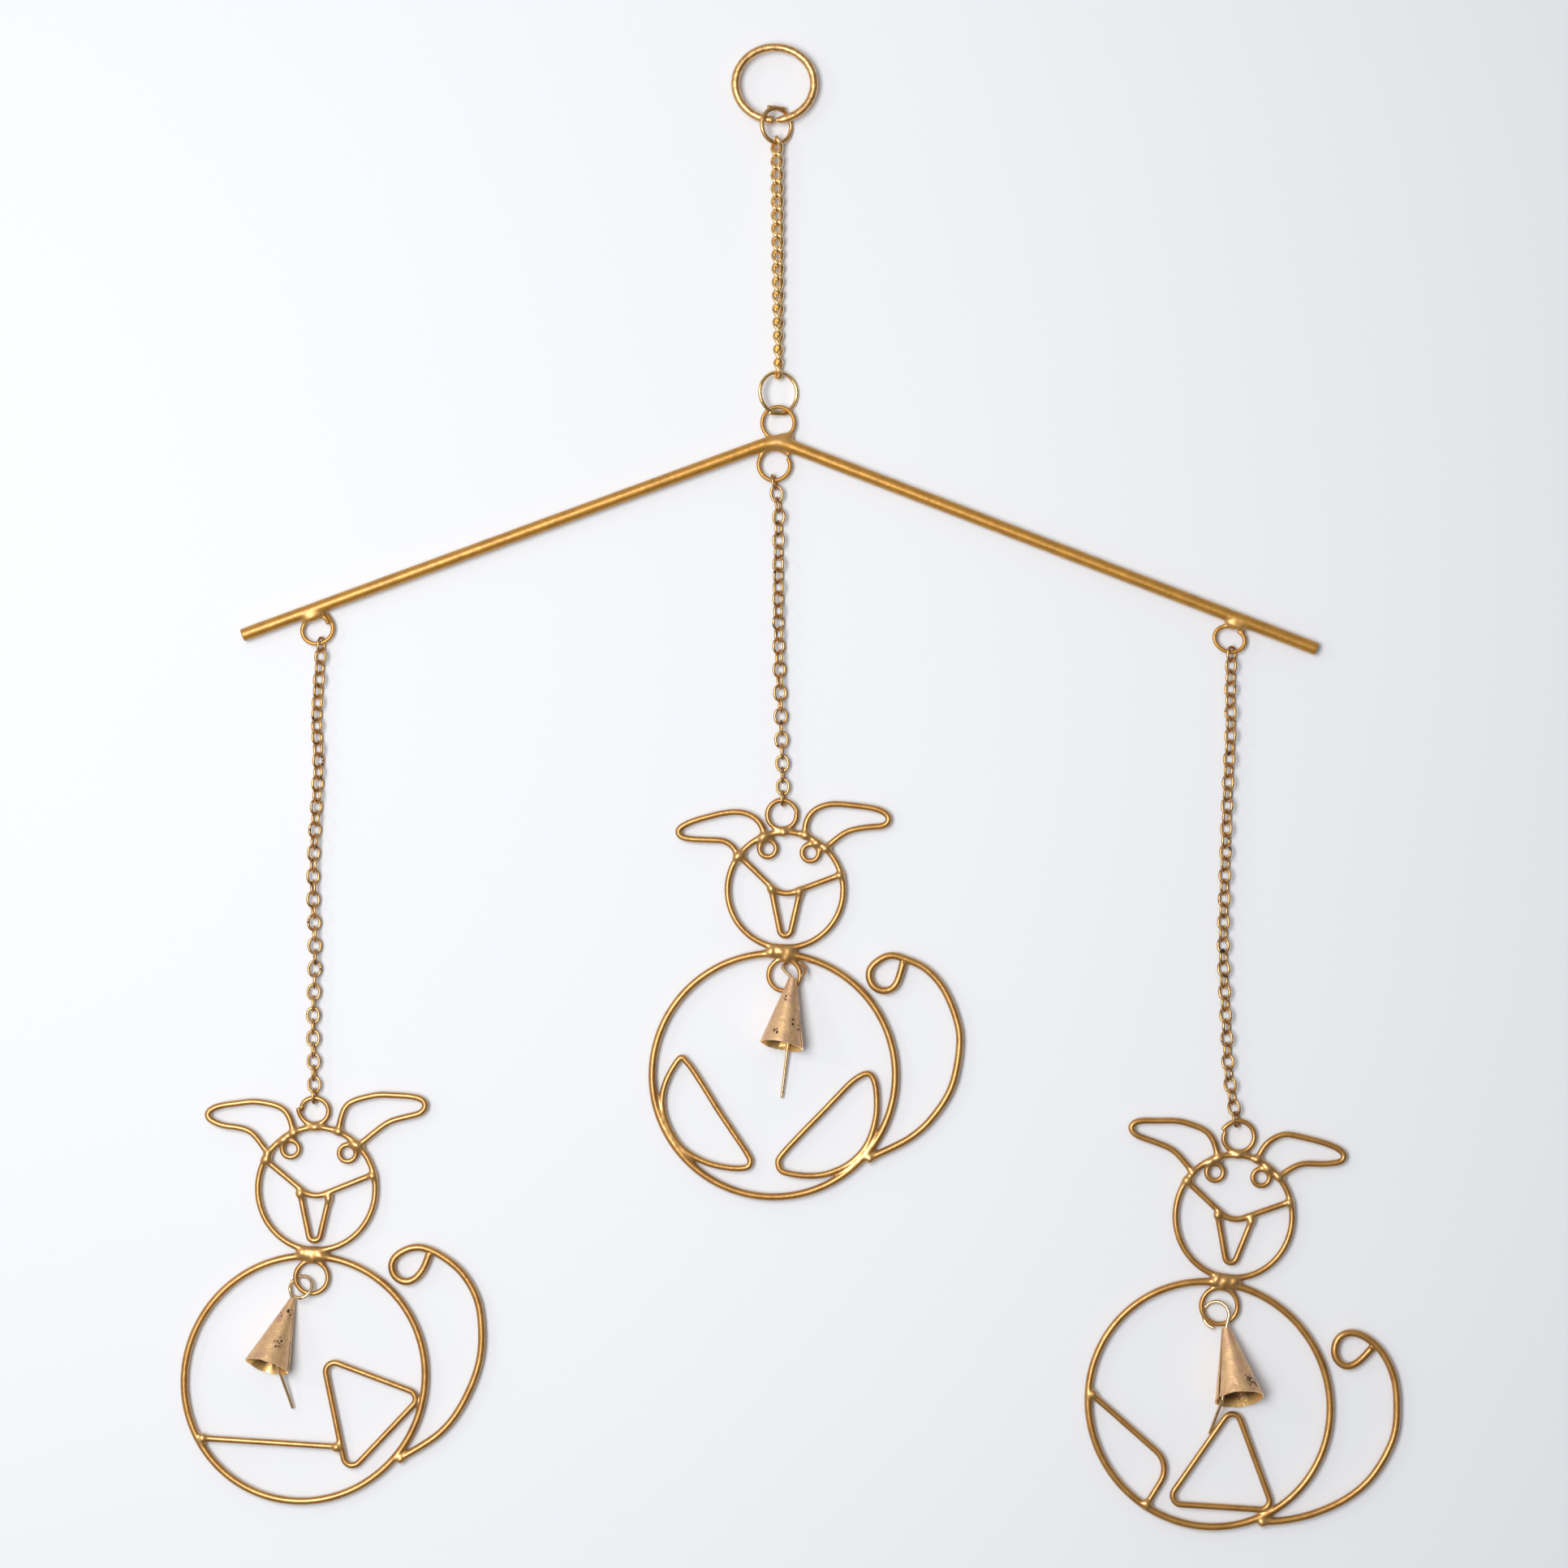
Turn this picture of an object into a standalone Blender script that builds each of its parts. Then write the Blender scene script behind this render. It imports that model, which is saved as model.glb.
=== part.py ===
"""Wind chime: three wire cats with cone bells, hung by chains from a bent crossbar.

All sizes are in millimetres until a mesh is made. +Z is up and the chime is seen from -Y.
The origin is the inner top of the hanging ring, where a hook carries the chime. It is laid
out as on a flat board behind it, so heavier pieces stand further forward than thin ones.
Angles are in degrees, counterclockwise from +X as seen from the front.
"""

import math

import bmesh
import bpy
import numpy as np
from mathutils import Matrix, Vector

MM = 0.001

# Fits
CLEARANCE = 0.3      # air between loose pieces that hang in each other
RING_SIDES = 16
LOOP_SIDES = 12
BODY_SIDES = 24
HEAD_SIDES = 16
BITE = 0.08          # how far the links of one chain press into each other
WELD_SINK = 0.5      # how far a welded wire is melted into the one that it meets

# Depths of the centres, from the hanging ring back to the board
BAR_DEPTH = 1.2
CAT_DEPTH = 1.4
BOARD_DEPTH = 3.8

# Hanging ring, an open ring of heavy wire
HANG_WIRE = 3.15
HANG_WIDTH = 29.1    # between wire centres
HANG_HEIGHT = 26.9
HANG_GAP = 1.0

# Jump rings above and below the twisted chain
TOP_JUMP_WIRE = 1.65
TOP_JUMP_OVAL = (6.35, 6.35)   # half width before it turns, and half height
TOP_JUMP_X = 0.7
TOP_JUMP_TURN = 32.0     # a ring that hangs in a flat ring stands turned, its left side in front
TOP_JUMP_SLACK = 1.6
LOW_JUMP_WIRE = 1.5
LOW_JUMP_OVAL = (7.75, 7.5)
LOW_JUMP_X = 1.4
LOW_JUMP_TURN = 28.5
TAB_LENGTH = 7.0     # flattened tail that lies over the cut
TAB_WIDTH = 1.9
TAB_SINK = 0.35      # share of it that lies behind the ring

# Twisted suspension chain
CURB_LINKS = 17
CURB_WIRE = 1.38
CURB_INSIDE = 5.05
CURB_HALF_WIDTH = 1.78
CURB_TWIST = -50.0   # each end of a link is twisted this far from its middle
CURB_TURN = -23.0    # of its first link
CURB_DRIFT = 102.0   # the whole chain turns this far on its way down
CURB_PLAY = 0.5      # air between its end links and the jump rings

# Crossbar, a rod bent to a shallow V with four rings welded on
ROD = 4.8
ROD_BEND_RADIUS = 16.0
ROD_CHAMFER = 0.8
LEFT_ARM = 209.4
RIGHT_ARM = 213.9
LEFT_SLOPE = 20.1
RIGHT_SLOPE = 21.1
APEX_X = 0.3
CROWN_RING_WIRE = 1.5
CROWN_RING_RADIUS = 5.95
CROWN_RING_X = 1.3
CROWN_RING_SLACK = 0.5
CROWN_RING_SINK = 1.6
FOOT_RING_SINK = 1.15
CROWN_WELD = (8.6, 3.8, 4.2)     # length, depth and height of the bead at the crown ring's foot
CROWN_WELD_AT = (2.1, -1.1)      # from the top of the apex
FOOT_RING_WIRE = 1.6
FOOT_RING_RADIUS = 5.85
FOOT_RING_X = -0.1
END_RING_WIRE = 1.55
END_RING_REACH = 183.2   # from the apex along each arm
END_RINGS = {            # width and height between wire centres, and how deep each is melted in
    "left": (11.5, 10.0, 0.5),
    "right": (11.5, 9.2, -0.4),   # stands off the rod, and its weld fills the gap
}
END_WELD = (7.4, 3.6, 3.4)

# Cable chains
LINK_WIRE = 1.1
LINK_HALF_WIDTH = 2.175
LINK_PLAY = 0.6      # air between a chain's end link and the ring that it hangs in

# Cats' wire
BODY_WIRE = 2.8
FACE_WIRE = 2.35
EYE_WIRE = 2.0
LOOP_WIRE = 1.9      # of a cat's hanging ring and bell ring
EYE_RADIUS = 3.1
MUZZLE_BEND = 8.0
NOSE_BEND = 2.1
LEG_BEND = 3.3
NECK_WELD = (9.6, 3.4, 4.4)   # length, depth and height of the weld bead

# Bells, cones of rolled sheet. A hanger's eye holds the clapper's eye inside the bell.
BELL_CROWN = 3.0
BELL_WALL = 0.6
HANGER_WIRE = 1.1
CLAPPER_WIRE = 1.05
EYE_BEND = 1.6       # radius of both eyes
EYE_DROP = 7.0       # from the crown to the hanger's eye
STEM_RISE = 1.0      # of the hanger's stem above the crown
STEM_END = 1.3       # its lower end above the eye's middle, in radii of the eye
SEAM_TURN = -140.0   # where the sheet's edges meet

# Every cat's own bends. A point is an angle and a share of the ring that carries the wire. A
# clapper's lip and tip are shares of the body's reach from the bell's crown, with a depth.
CATS = {
    "left": {
        "links": 40,
        "link_inside": 4.205,
        "first_turn": 64.0,
        "drift": -75.0,
        "bar_contact": 18.0,
        "sway": ((0, 0), (0.18, -1.9), (0.27, -1.2), (0.5, -3.2), (0.68, -2.5), (0.82, -3.2), (1, -2.6)),
        "hang": (5.25, 4.9, 0.0),
        "hang_contact": -1.5,
        "head": (21.7, 22.7, 0.0),
        "head_under": -88.4,
        "body": (45.7, 44.2, 60.0),
        "body_under": -93.6,
        "left_ear": ((112, 1), (111, 1.3), (115, 1.5), (125, 1.76), (132, 1.92), (140, 2.15), (145, 2.24),
                     (147, 2.16), (146, 1.91), (142, 1.67), (139, 1.42), (144, 1)),
        "right_ear": ((69, 1), (71, 1.28), (69, 1.51), (58, 1.82), (51, 2), (43, 2.25), (39, 2.33), (37, 2.29),
                      (36, 2.16), (39, 1.9), (43, 1.6), (46, 1)),
        "eyes": (123, 49),
        "muzzle": ((150.4, 0.98), (-119.9, 0.123), (14, 0.98)),
        "nose": ((-165, 0.29), (-92.4, 0.845), (-39, 0.265)),
        "bell_ring": 6.0,
        "bell_ring_at": 86.0,
        "bent_legs": (((29.5, 0.227), (-9.4, 0.935), (-62.4, 0.809)),),
        "open_legs": (((-150, 0.97), (-64.6, 0.625)),),
        "open_leg_bend": 3.0,
        "round_legs": (),
        "tail": ((-40, 1.04), (-29, 1.14), (-21, 1.23), (-12, 1.31), (-1, 1.4), (8, 1.47), (17, 1.52), (25, 1.555),
                 (33.7, 1.547), (41.7, 1.495), (48.1, 1.429), (51.6, 1.339), (53.6, 1.211), (51.4, 1.128),
                 (47.2, 1.103), (43, 1.144), (42, 1.23), (43, 1.33), (45, 1.43)),
        "hanger": (-3.9, -3.5, 0.8, 4.3),
        "hanger_turn": (206.0, 33.0),
        "hanger_run": (-96.0, 300.0),
        "bell": (26.6, 16.9),
        "bell_at": (-131.7, 10.45),
        "bell_lean": 20.0,
        "bell_tilt": 14.4,
        "mouth_slant": 9.0,
        "mouth_skew": -2.4,
        "seam": 0.0,
        "clapper": ((-0.117, -2.0, -0.536), (-0.0044, 2.2, -0.896)),
    },
    "centre": {
        "links": 28,
        "link_inside": 4.259,
        "first_turn": 75.0,
        "drift": -90.0,
        "bar_contact": -6.0,
        "sway": ((0, 0), (0.045, 1.2), (0.1, 2.3), (0.15, 2.2), (0.45, 2.1), (0.76, 3.1), (0.9, 3.7), (1, 3.85)),
        "hang": (5.45, 5.35, 0.0),
        "hang_contact": -4.2,
        "head": (21.4, 21.4, 0.0),
        "head_under": -87.5,
        "body": (45.0, 45.0, 0.0),
        "body_under": -93.6,
        "left_ear": ((112, 1), (110, 1.1), (112, 1.32), (118, 1.51), (126, 1.66), (136, 1.83), (145, 2.03),
                     (151, 2.13), (153, 2.04), (152, 1.88), (147, 1.59), (141, 1.34), (141, 1.12), (146, 1)),
        "right_ear": ((70, 1), (73, 1.23), (70, 1.47), (62, 1.68), (51, 1.88), (42, 2.1), (37, 2.19), (34, 2.17),
                      (33, 2.04), (38, 1.75), (43, 1.49), (45, 1.26), (46, 1)),
        "eyes": (113, 56),
        "muzzle": ((143.4, 0.98), (-135.8, 0.072), (15.4, 0.98)),
        "nose": ((173.5, 0.247), (-90, 0.788), (-9, 0.254)),
        "bell_ring": 5.85,
        "bell_ring_at": 83.9,
        "bent_legs": (),
        "open_legs": (),
        "open_leg_bend": 3.0,
        "round_legs": (
            ((170, 0.785), (-177, 0.884), (-166, 0.946), (-154, 0.966), (-141, 0.961), (-128, 0.907), (-116, 0.846),
             (-107, 0.795), (-105, 0.745), (-108, 0.687), (-126, 0.574), (-148, 0.539), (-174, 0.599), (172, 0.714)),
            ((1, 0.769), (-4, 0.655), (-19, 0.549), (-37, 0.502), (-67, 0.539), (-85, 0.668), (-87, 0.736),
             (-84, 0.8), (-72, 0.869), (-61, 0.923), (-49, 0.956), (-37, 0.955), (-24, 0.914), (-12, 0.865),
             (-3, 0.826)),
        ),
        "tail": ((-41, 1.04), (-34, 1.11), (-25, 1.23), (-16, 1.34), (-4, 1.465), (9, 1.548), (17, 1.572),
                 (27, 1.568), (35, 1.527), (41, 1.45), (45.8, 1.379), (47.7, 1.269), (47.6, 1.157), (42, 1.094),
                 (37, 1.144), (36, 1.227), (38, 1.309), (41, 1.41)),
        "hanger": (3.5, 1.9, 0.02, 4.3),
        "hanger_turn": (0.0, -47.0),
        "hanger_run": (-50.0, 260.0),
        "bell": (25.3, 16.3),
        "bell_at": (-14.4, 3.13),
        "bell_lean": 9.4,
        "bell_tilt": 5.5,
        "mouth_slant": 9.5,
        "mouth_skew": 2.5,
        "seam": 0.0,
        "clapper": ((-0.033, 0.7, -0.507), (-0.089, 3.0, -0.991)),
    },
    "right": {
        "links": 41,
        "link_inside": 4.231,
        "first_turn": 45.0,
        "drift": 12.0,
        "bar_contact": 10.0,
        "sway": ((0, 0), (0.1, -0.6), (0.17, -0.4), (0.3, -1.5), (0.52, -2.8), (0.65, -3.1), (0.8, -1.9),
                 (0.9, -0.9), (1, 2.3)),
        "hang": (5.75, 5.75, 0.0),
        "hang_contact": 3.5,
        "head": (21.6, 22.75, 0.0),
        "head_under": -93.5,
        "body": (45.9, 44.2, -55.0),
        "body_under": -97.5,
        "left_ear": ((105, 1), (105, 1.265), (108, 1.47), (115, 1.67), (121, 1.84), (129, 2.045), (135, 2.255),
                     (138.5, 2.3), (140, 2.25), (140, 2.1), (137, 1.84), (133, 1.55), (132, 1.33), (133, 1)),
        "right_ear": ((68, 1), (66, 1.29), (62, 1.475), (57.5, 1.61), (49, 1.745), (39, 1.96), (32, 2.12), (28.5, 2.14),
                      (27, 2.04), (30, 1.77), (37, 1.47), (40, 1.24), (41, 1)),
        "eyes": (113, 55),
        "muzzle": ((142.9, 0.98), (-129.6, 0.051), (14.5, 0.98)),
        "nose": ((174, 0.278), (-94.5, 0.752), (-15, 0.31)),
        "bell_ring": 6.7,
        "bell_ring_at": 84.0,
        "bent_legs": (((-22.6, 0.213), (-110.5, 0.84), (-60, 0.946)),),
        "open_legs": (((175, 0.97), (-126.5, 0.634), (-122, 0.97)),),
        "open_leg_bend": 9.0,
        "round_legs": (),
        "tail": ((-66, 1.04), (-57, 1.116), (-46, 1.224), (-34, 1.355), (-23, 1.459), (-10, 1.544), (1, 1.558),
                 (9, 1.553), (16.9, 1.506), (22.8, 1.431), (26.6, 1.344), (27.5, 1.227), (23.6, 1.14), (19, 1.128),
                 (15, 1.19), (16, 1.304), (19, 1.433)),
        "hanger": (-1.23, -3.33, 1.4, 4.9),
        "hanger_turn": (-107.0, 22.5),
        "hanger_run": (-102.0, -282.0),
        "bell": (26.3, 18.4),
        "bell_at": (-74.8, 8.03),
        "bell_lean": -10.0,
        "bell_tilt": 10.5,
        "mouth_slant": 16.5,
        "mouth_skew": 3.9,
        "seam": 8.0,
        "clapper": ((-0.04, -4.0, -0.583), (-0.124, 2.9, -0.876)),
    },
}

# Colours, roughness and metallic value of the finishes
FINISHES = {
    "gold_plate": ((0.72, 0.42, 0.11), 0.28, 1.0),
    "gold_paint": ((0.50, 0.25, 0.06), 0.42, 0.9),
    "chain_bronze": ((0.55, 0.30, 0.11), 0.35, 1.0),
    "bell_brass": ((0.56, 0.35, 0.15), 0.5, 1.0),
    "wire_brass": ((0.66, 0.43, 0.18), 0.38, 1.0),
}


def clear_scene():
    """Remove the objects that the scene starts with."""
    for thing in list(bpy.data.objects):
        bpy.data.objects.remove(thing, do_unlink=True)


def new_collection(name):
    """Make a collection in the scene."""
    made = bpy.data.collections.new(name)
    bpy.context.scene.collection.children.link(made)
    return made


def finish(name, slot):
    """Make a piece's own material from one of the finishes."""
    colour, roughness, metallic = FINISHES[slot]
    made = bpy.data.materials.new(name)
    made.use_nodes = True
    shader = made.node_tree.nodes["Principled BSDF"]
    shader.inputs["Base Color"].default_value = (*colour, 1.0)
    shader.inputs["Roughness"].default_value = roughness
    shader.inputs["Metallic"].default_value = metallic
    return made


def polar(centre, angle, reach):
    """The point at an angle and a distance from a centre, in the plane of the chime."""
    turn = math.radians(angle)
    return np.array(centre) + reach * np.array((math.cos(turn), math.sin(turn)))


def oval_reach(oval, angle):
    """How far an oval of half width, half height and lean reaches at an angle."""
    along, across, lean = oval
    turn = math.radians(angle - lean)
    return along * across / math.hypot(across * math.cos(turn), along * math.sin(turn))


def oval_points(centre, oval, sides, start=0.0, sweep=360.0):
    """Points round an oval. A whole turn leaves out the last point, which is the first."""
    whole = abs(sweep) >= 360.0
    count = sides if whole else sides + 1
    return [
        polar(centre, start + sweep * i / sides, oval_reach(oval, start + sweep * i / sides))
        for i in range(count)
    ]


def on_ring(centre, oval, marks):
    """Points given by an angle and a share of an oval's reach there."""
    return np.array([polar(centre, angle, share * oval_reach(oval, angle)) for angle, share in marks])


def smooth(points, closed=False, steps=12):
    """A Catmull-Rom curve through the points, as a fine path."""
    points = np.asarray(points, float)
    if closed:
        held = np.vstack((points[-1:], points, points[:2]))
    else:
        held = np.vstack((2 * points[0] - points[1], points, 2 * points[-1] - points[-2]))
    t = np.linspace(0.0, 1.0, steps, endpoint=False)[:, None]
    pieces = []
    for a, b, c, d in zip(held, held[1:], held[2:], held[3:]):
        pieces.append(0.5 * (2 * b + (c - a) * t + (2 * a - 5 * b + 4 * c - d) * t**2
                             + (3 * b - a - 3 * c + d) * t**3))
    path = np.vstack(pieces)
    return path if closed else np.vstack((path, points[-1:]))


def bent(points, radius, closed=False, steps=8):
    """Straight runs with bends of the radius that reach out to the points, as a fine path."""
    reached = np.asarray(points, float)
    corners = reached.copy()
    inner = range(len(corners)) if closed else range(1, len(corners) - 1)

    def corner_at(i):
        before = corners[i - 1] - corners[i]
        after = corners[(i + 1) % len(corners)] - corners[i]
        lengths = np.linalg.norm(before), np.linalg.norm(after)
        before, after = before / lengths[0], after / lengths[1]
        half = 0.5 * math.acos(float(np.clip(before @ after, -1.0, 1.0)))
        tangent = min(radius / math.tan(half), 0.5 * min(lengths))
        return before, after, half, tangent, (before + after) / np.linalg.norm(before + after)

    # A corner lies outside its bend, so it is moved out until the bend touches the point
    for _ in range(12):
        pushed = corners.copy()
        for i in inner:
            _, _, half, tangent, inward = corner_at(i)
            bend = tangent * math.tan(half)
            pushed[i] = reached[i] - inward * bend * (1.0 / math.sin(half) - 1.0)
        corners = pushed
    path = [] if closed else [corners[0]]
    for i in inner:
        before, after, half, tangent, inward = corner_at(i)
        centre = corners[i] + inward * tangent / math.cos(half)
        first = corners[i] + before * tangent - centre
        second = corners[i] + after * tangent - centre
        arc = math.pi - 2 * half
        for share in np.linspace(0.0, 1.0, steps):
            path.append(centre + (math.sin((1 - share) * arc) * first + math.sin(share * arc) * second)
                        / math.sin(arc))
    if not closed:
        path.append(corners[-1])
    return np.array(path)


def straddled(oval, sides):
    """The oval round which a polygon of this many sides lies half inside and half outside the given one."""
    along, across, lean = oval
    growth = 1.0 + 0.5 * (1.0 - math.cos(math.pi / sides))
    return (along * growth, across * growth, lean)


def facets(path, turn, closed=False):
    """The few points of a fine path between which it turns by about `turn` degrees, moved outwards by
    half of what their straight runs cut off its bends."""
    path = np.asarray(path, float)
    ends = np.vstack((path[-1:], path, path[:1])) if closed else path
    runs = np.diff(ends, axis=0)
    runs = runs / np.linalg.norm(runs, axis=1)[:, None]
    kinks = np.degrees(np.arccos(np.clip((runs[1:] * runs[:-1]).sum(axis=1), -1.0, 1.0)))
    kept, turned = [], turn if closed else 0.0
    if not closed:
        kept.append(path[0])
    inner = path if closed else path[1:-1]
    for point, kink in zip(inner, kinks):
        turned += kink
        if turned >= turn:
            kept.append(point)
            turned = 0.0
    if not closed:
        kept.append(path[-1])
    kept = np.array(kept)
    outwards = (kept - 0.5 * (np.roll(kept, 1, axis=0) + np.roll(kept, -1, axis=0))) / 8
    if not closed:
        outwards[[0, -1]] = 0.0
    return kept + outwards


def place(path, depth=0.0, centre=(0.0, 0.0), axis=None, turn=0.0):
    """Put a flat path at a depth, turned about an axis that runs through its centre."""
    flat = np.asarray(path, float) - centre
    made = np.column_stack((flat[:, 0], np.zeros(len(flat)), flat[:, 1]))
    if axis is not None:
        lie = math.radians(axis)
        spin = Matrix.Rotation(math.radians(turn), 3, Vector((math.cos(lie), 0.0, math.sin(lie))))
        made = made @ np.array(spin).T
    return made + np.array((centre[0], depth, centre[1]))


def mesh_object(name, mesh):
    """Put a mesh in the scene as an object."""
    made = bpy.data.objects.new(name, mesh)
    bpy.context.scene.collection.objects.link(made)
    return made


def settled(thing):
    """Replace an object by the closed mesh that it evaluates to."""
    graph = bpy.context.evaluated_depsgraph_get()
    mesh = bpy.data.meshes.new_from_object(thing.evaluated_get(graph))
    shape = bmesh.new()
    shape.from_mesh(mesh)
    bmesh.ops.transform(shape, matrix=thing.matrix_world, verts=shape.verts)
    bmesh.ops.remove_doubles(shape, verts=shape.verts, dist=0.00001)
    bmesh.ops.recalc_face_normals(shape, faces=shape.faces)
    shape.to_mesh(mesh)
    shape.free()
    name = thing.name
    bpy.data.objects.remove(thing, do_unlink=True)
    return mesh_object(name, mesh)


def wire(path, gauge, closed=False, fineness=0, swell=None):
    """A round wire of 4, 6, 8 or 12 sides along a path, as wide as the gauge from the front."""
    curve = bpy.data.curves.new("wire", "CURVE")
    curve.dimensions = "3D"
    curve.bevel_resolution = fineness
    # Six sides turn a flat to the front view's edge, and other counts turn a ridge there
    flat = math.cos(math.pi / 6) if fineness == 1 else 1.0
    curve.bevel_depth = 0.5 * gauge * MM / flat
    curve.use_fill_caps = True
    spline = curve.splines.new("POLY")
    spline.points.add(len(path) - 1)
    spline.use_cyclic_u = closed
    for i, point in enumerate(path):
        spline.points[i].co = (*(np.asarray(point) * MM), 1.0)
        spline.points[i].radius = 1.0 if swell is None else swell[i]
    made = bpy.data.objects.new("wire", curve)
    bpy.context.scene.collection.objects.link(made)
    bpy.context.view_layer.update()
    return settled(made)


def bead(centre, depth, size, lean=0.0):
    """A bead of weld: a low ball of length, depth and height, leaning in the plane of the chime."""
    bpy.ops.mesh.primitive_uv_sphere_add(segments=8, ring_count=6, radius=0.5)
    made = bpy.context.active_object
    made.data.transform(Matrix.Diagonal((*(side * MM for side in size), 1.0)))
    made.data.transform(Matrix.Rotation(math.radians(-lean), 4, "Y"))
    made.data.transform(Matrix.Translation(Vector((centre[0], depth, centre[1])) * MM))
    return made


def weld(name, pieces):
    """Join pieces that overlap into one closed body."""
    body = pieces[0]
    for piece in pieces[1:]:
        join = body.modifiers.new("join", "BOOLEAN")
        join.operation = "UNION"
        join.solver = "EXACT"
        join.object = piece
        bpy.context.view_layer.update()
        body = settled(body)
        bpy.data.objects.remove(piece, do_unlink=True)
    body.name = name
    body.data.name = name
    return body


def hand_over(thing, collection, slot):
    """Give a finished piece its material and its place in the part's collection."""
    thing.data.materials.clear()
    thing.data.materials.append(finish(thing.name, slot))
    thing.data.shade_smooth()
    thing.data.set_sharp_from_angle(angle=math.radians(50))
    for old in list(thing.users_collection):
        old.objects.unlink(thing)
    collection.objects.link(thing)


def chain_path(start, end_depth, length, sway):
    """Points every millimetre or so down a chain that sways sideways, and how far along each is."""
    shares, offsets = np.array(sway, float).T
    drop = np.linspace(0.0, length, 400)
    smooth_sway = smooth(np.column_stack((shares * length, offsets)), steps=20)
    side = np.interp(drop, smooth_sway[:, 0], smooth_sway[:, 1])
    depth = np.interp(drop, (0.0, length), (start[1], end_depth))
    points = np.column_stack((start[0] + side, depth, start[2] - drop))
    along = np.concatenate(((0.0,), np.cumsum(np.linalg.norm(np.diff(points, axis=0), axis=1))))
    return points, along


def link_mesh(gauge, half_width, half_length, twist):
    """One link of few sides, with its tips on the Z axis and both its ends twisted about it."""
    sides = 6
    flat = math.cos(math.pi / sides)
    reach = half_width / flat
    bpy.ops.mesh.primitive_torus_add(major_segments=sides, minor_segments=4, major_radius=reach,
                                     minor_radius=0.5 * gauge / flat)
    made = bpy.context.active_object
    for corner in made.data.vertices:
        z, x, y = corner.co
        z += math.copysign(half_length - reach, z)
        turn = math.radians(twist) * max(-1.0, min(1.0, z / half_length))
        corner.co = (x * math.cos(turn) - y * math.sin(turn), x * math.sin(turn) + y * math.cos(turn), z)
    mesh = made.data
    bpy.data.objects.remove(made, do_unlink=True)
    return mesh


def chain(name, count, gauge, inside, half_width, start, end_depth, sway, twist, first_turn, step, drift):
    """A chain of fused links from the middle of its first link's top wire, and where it ends."""
    half_length = 0.5 * inside + 0.5 * gauge / math.cos(math.pi / 6)
    pitch = inside + BITE
    length = (count - 1) * pitch + 2 * half_length
    points, along = chain_path(start, end_depth, length, sway)
    link = link_mesh(gauge, half_width, half_length, twist)
    rows = (bmesh.new(), bmesh.new())
    for k in range(count):
        middle = half_length + k * pitch
        ends = [np.array([np.interp(s, along, points[:, i]) for i in range(3)])
                for s in (middle - half_length, middle + half_length)]
        up = Vector(ends[0] - ends[1]).normalized()
        side = Vector((1.0, 0.0, 0.0))
        side = (side - up * side.dot(up)).normalized()
        frame = Matrix((side, up.cross(side), up)).transposed().to_4x4()
        spin = Matrix.Rotation(math.radians(first_turn + step * k + drift * k / (count - 1)), 4, "Z")
        copy = link.copy()
        copy.transform(frame @ spin)
        copy.transform(Matrix.Translation(Vector(0.5 * (ends[0] + ends[1]))))
        copy.transform(Matrix.Scale(MM, 4))
        rows[k % 2].from_mesh(copy)
        bpy.data.meshes.remove(copy)
    pieces = []
    for row in rows:
        bmesh.ops.recalc_face_normals(row, faces=row.faces)
        mesh = bpy.data.meshes.new(name)
        row.to_mesh(mesh)
        row.free()
        pieces.append(mesh_object(name, mesh))
    bpy.data.meshes.remove(link)
    end = np.array([np.interp(length, along, points[:, i]) for i in range(3)])
    return weld(name, pieces), end


def jump_ring(name, centre, depth, oval, gauge, turn, tab_side):
    """A turned ring whose flattened tail lies over its own cut, above or below."""
    ring = wire(place(oval_points(centre, (*oval, 0.0), RING_SIDES), depth, centre, 90.0, turn), gauge,
                closed=True)
    tip = oval[1] + 0.5 * gauge - TAB_SINK * TAB_WIDTH
    tail = [(centre[0] + 0.5 * TAB_LENGTH * share, centre[1] + tab_side * tip) for share in (-1.0, 0.4, 1.0)]
    tab = wire(place(tail, depth, centre, 90.0, turn), TAB_WIDTH, swell=(0.35, 1.0, 0.5))
    return weld(name, [ring, tab])


def make_hanging_ring():
    """The big open ring, round which the hook goes. Returns it and its lowest wire centre."""
    centre = np.array((0.0, 0.5 * HANG_WIRE - 0.5 * HANG_HEIGHT))
    oval = (0.5 * HANG_WIDTH, 0.5 * HANG_HEIGHT, 0.0)
    gap = math.degrees(HANG_GAP / HANG_HEIGHT)
    sides = 22
    path = oval_points(centre, oval, sides, -90.0 + gap, 360.0 - 2 * gap - 0.01)
    swell = [1.0] * (sides + 1)
    swell[0] = swell[-1] = 0.6
    ring = wire(place(path), HANG_WIRE, fineness=1, swell=swell)
    ring.name = "hanging_ring"
    return ring, centre[1] - 0.5 * HANG_HEIGHT


def bar_point(side, reach):
    """A point of an arm's centre line, at a distance from the corner where both lines meet."""
    slope = LEFT_SLOPE if side < 0 else RIGHT_SLOPE
    angle = math.radians(slope)
    return np.array((side * reach * math.cos(angle), -reach * math.sin(angle)))


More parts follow.
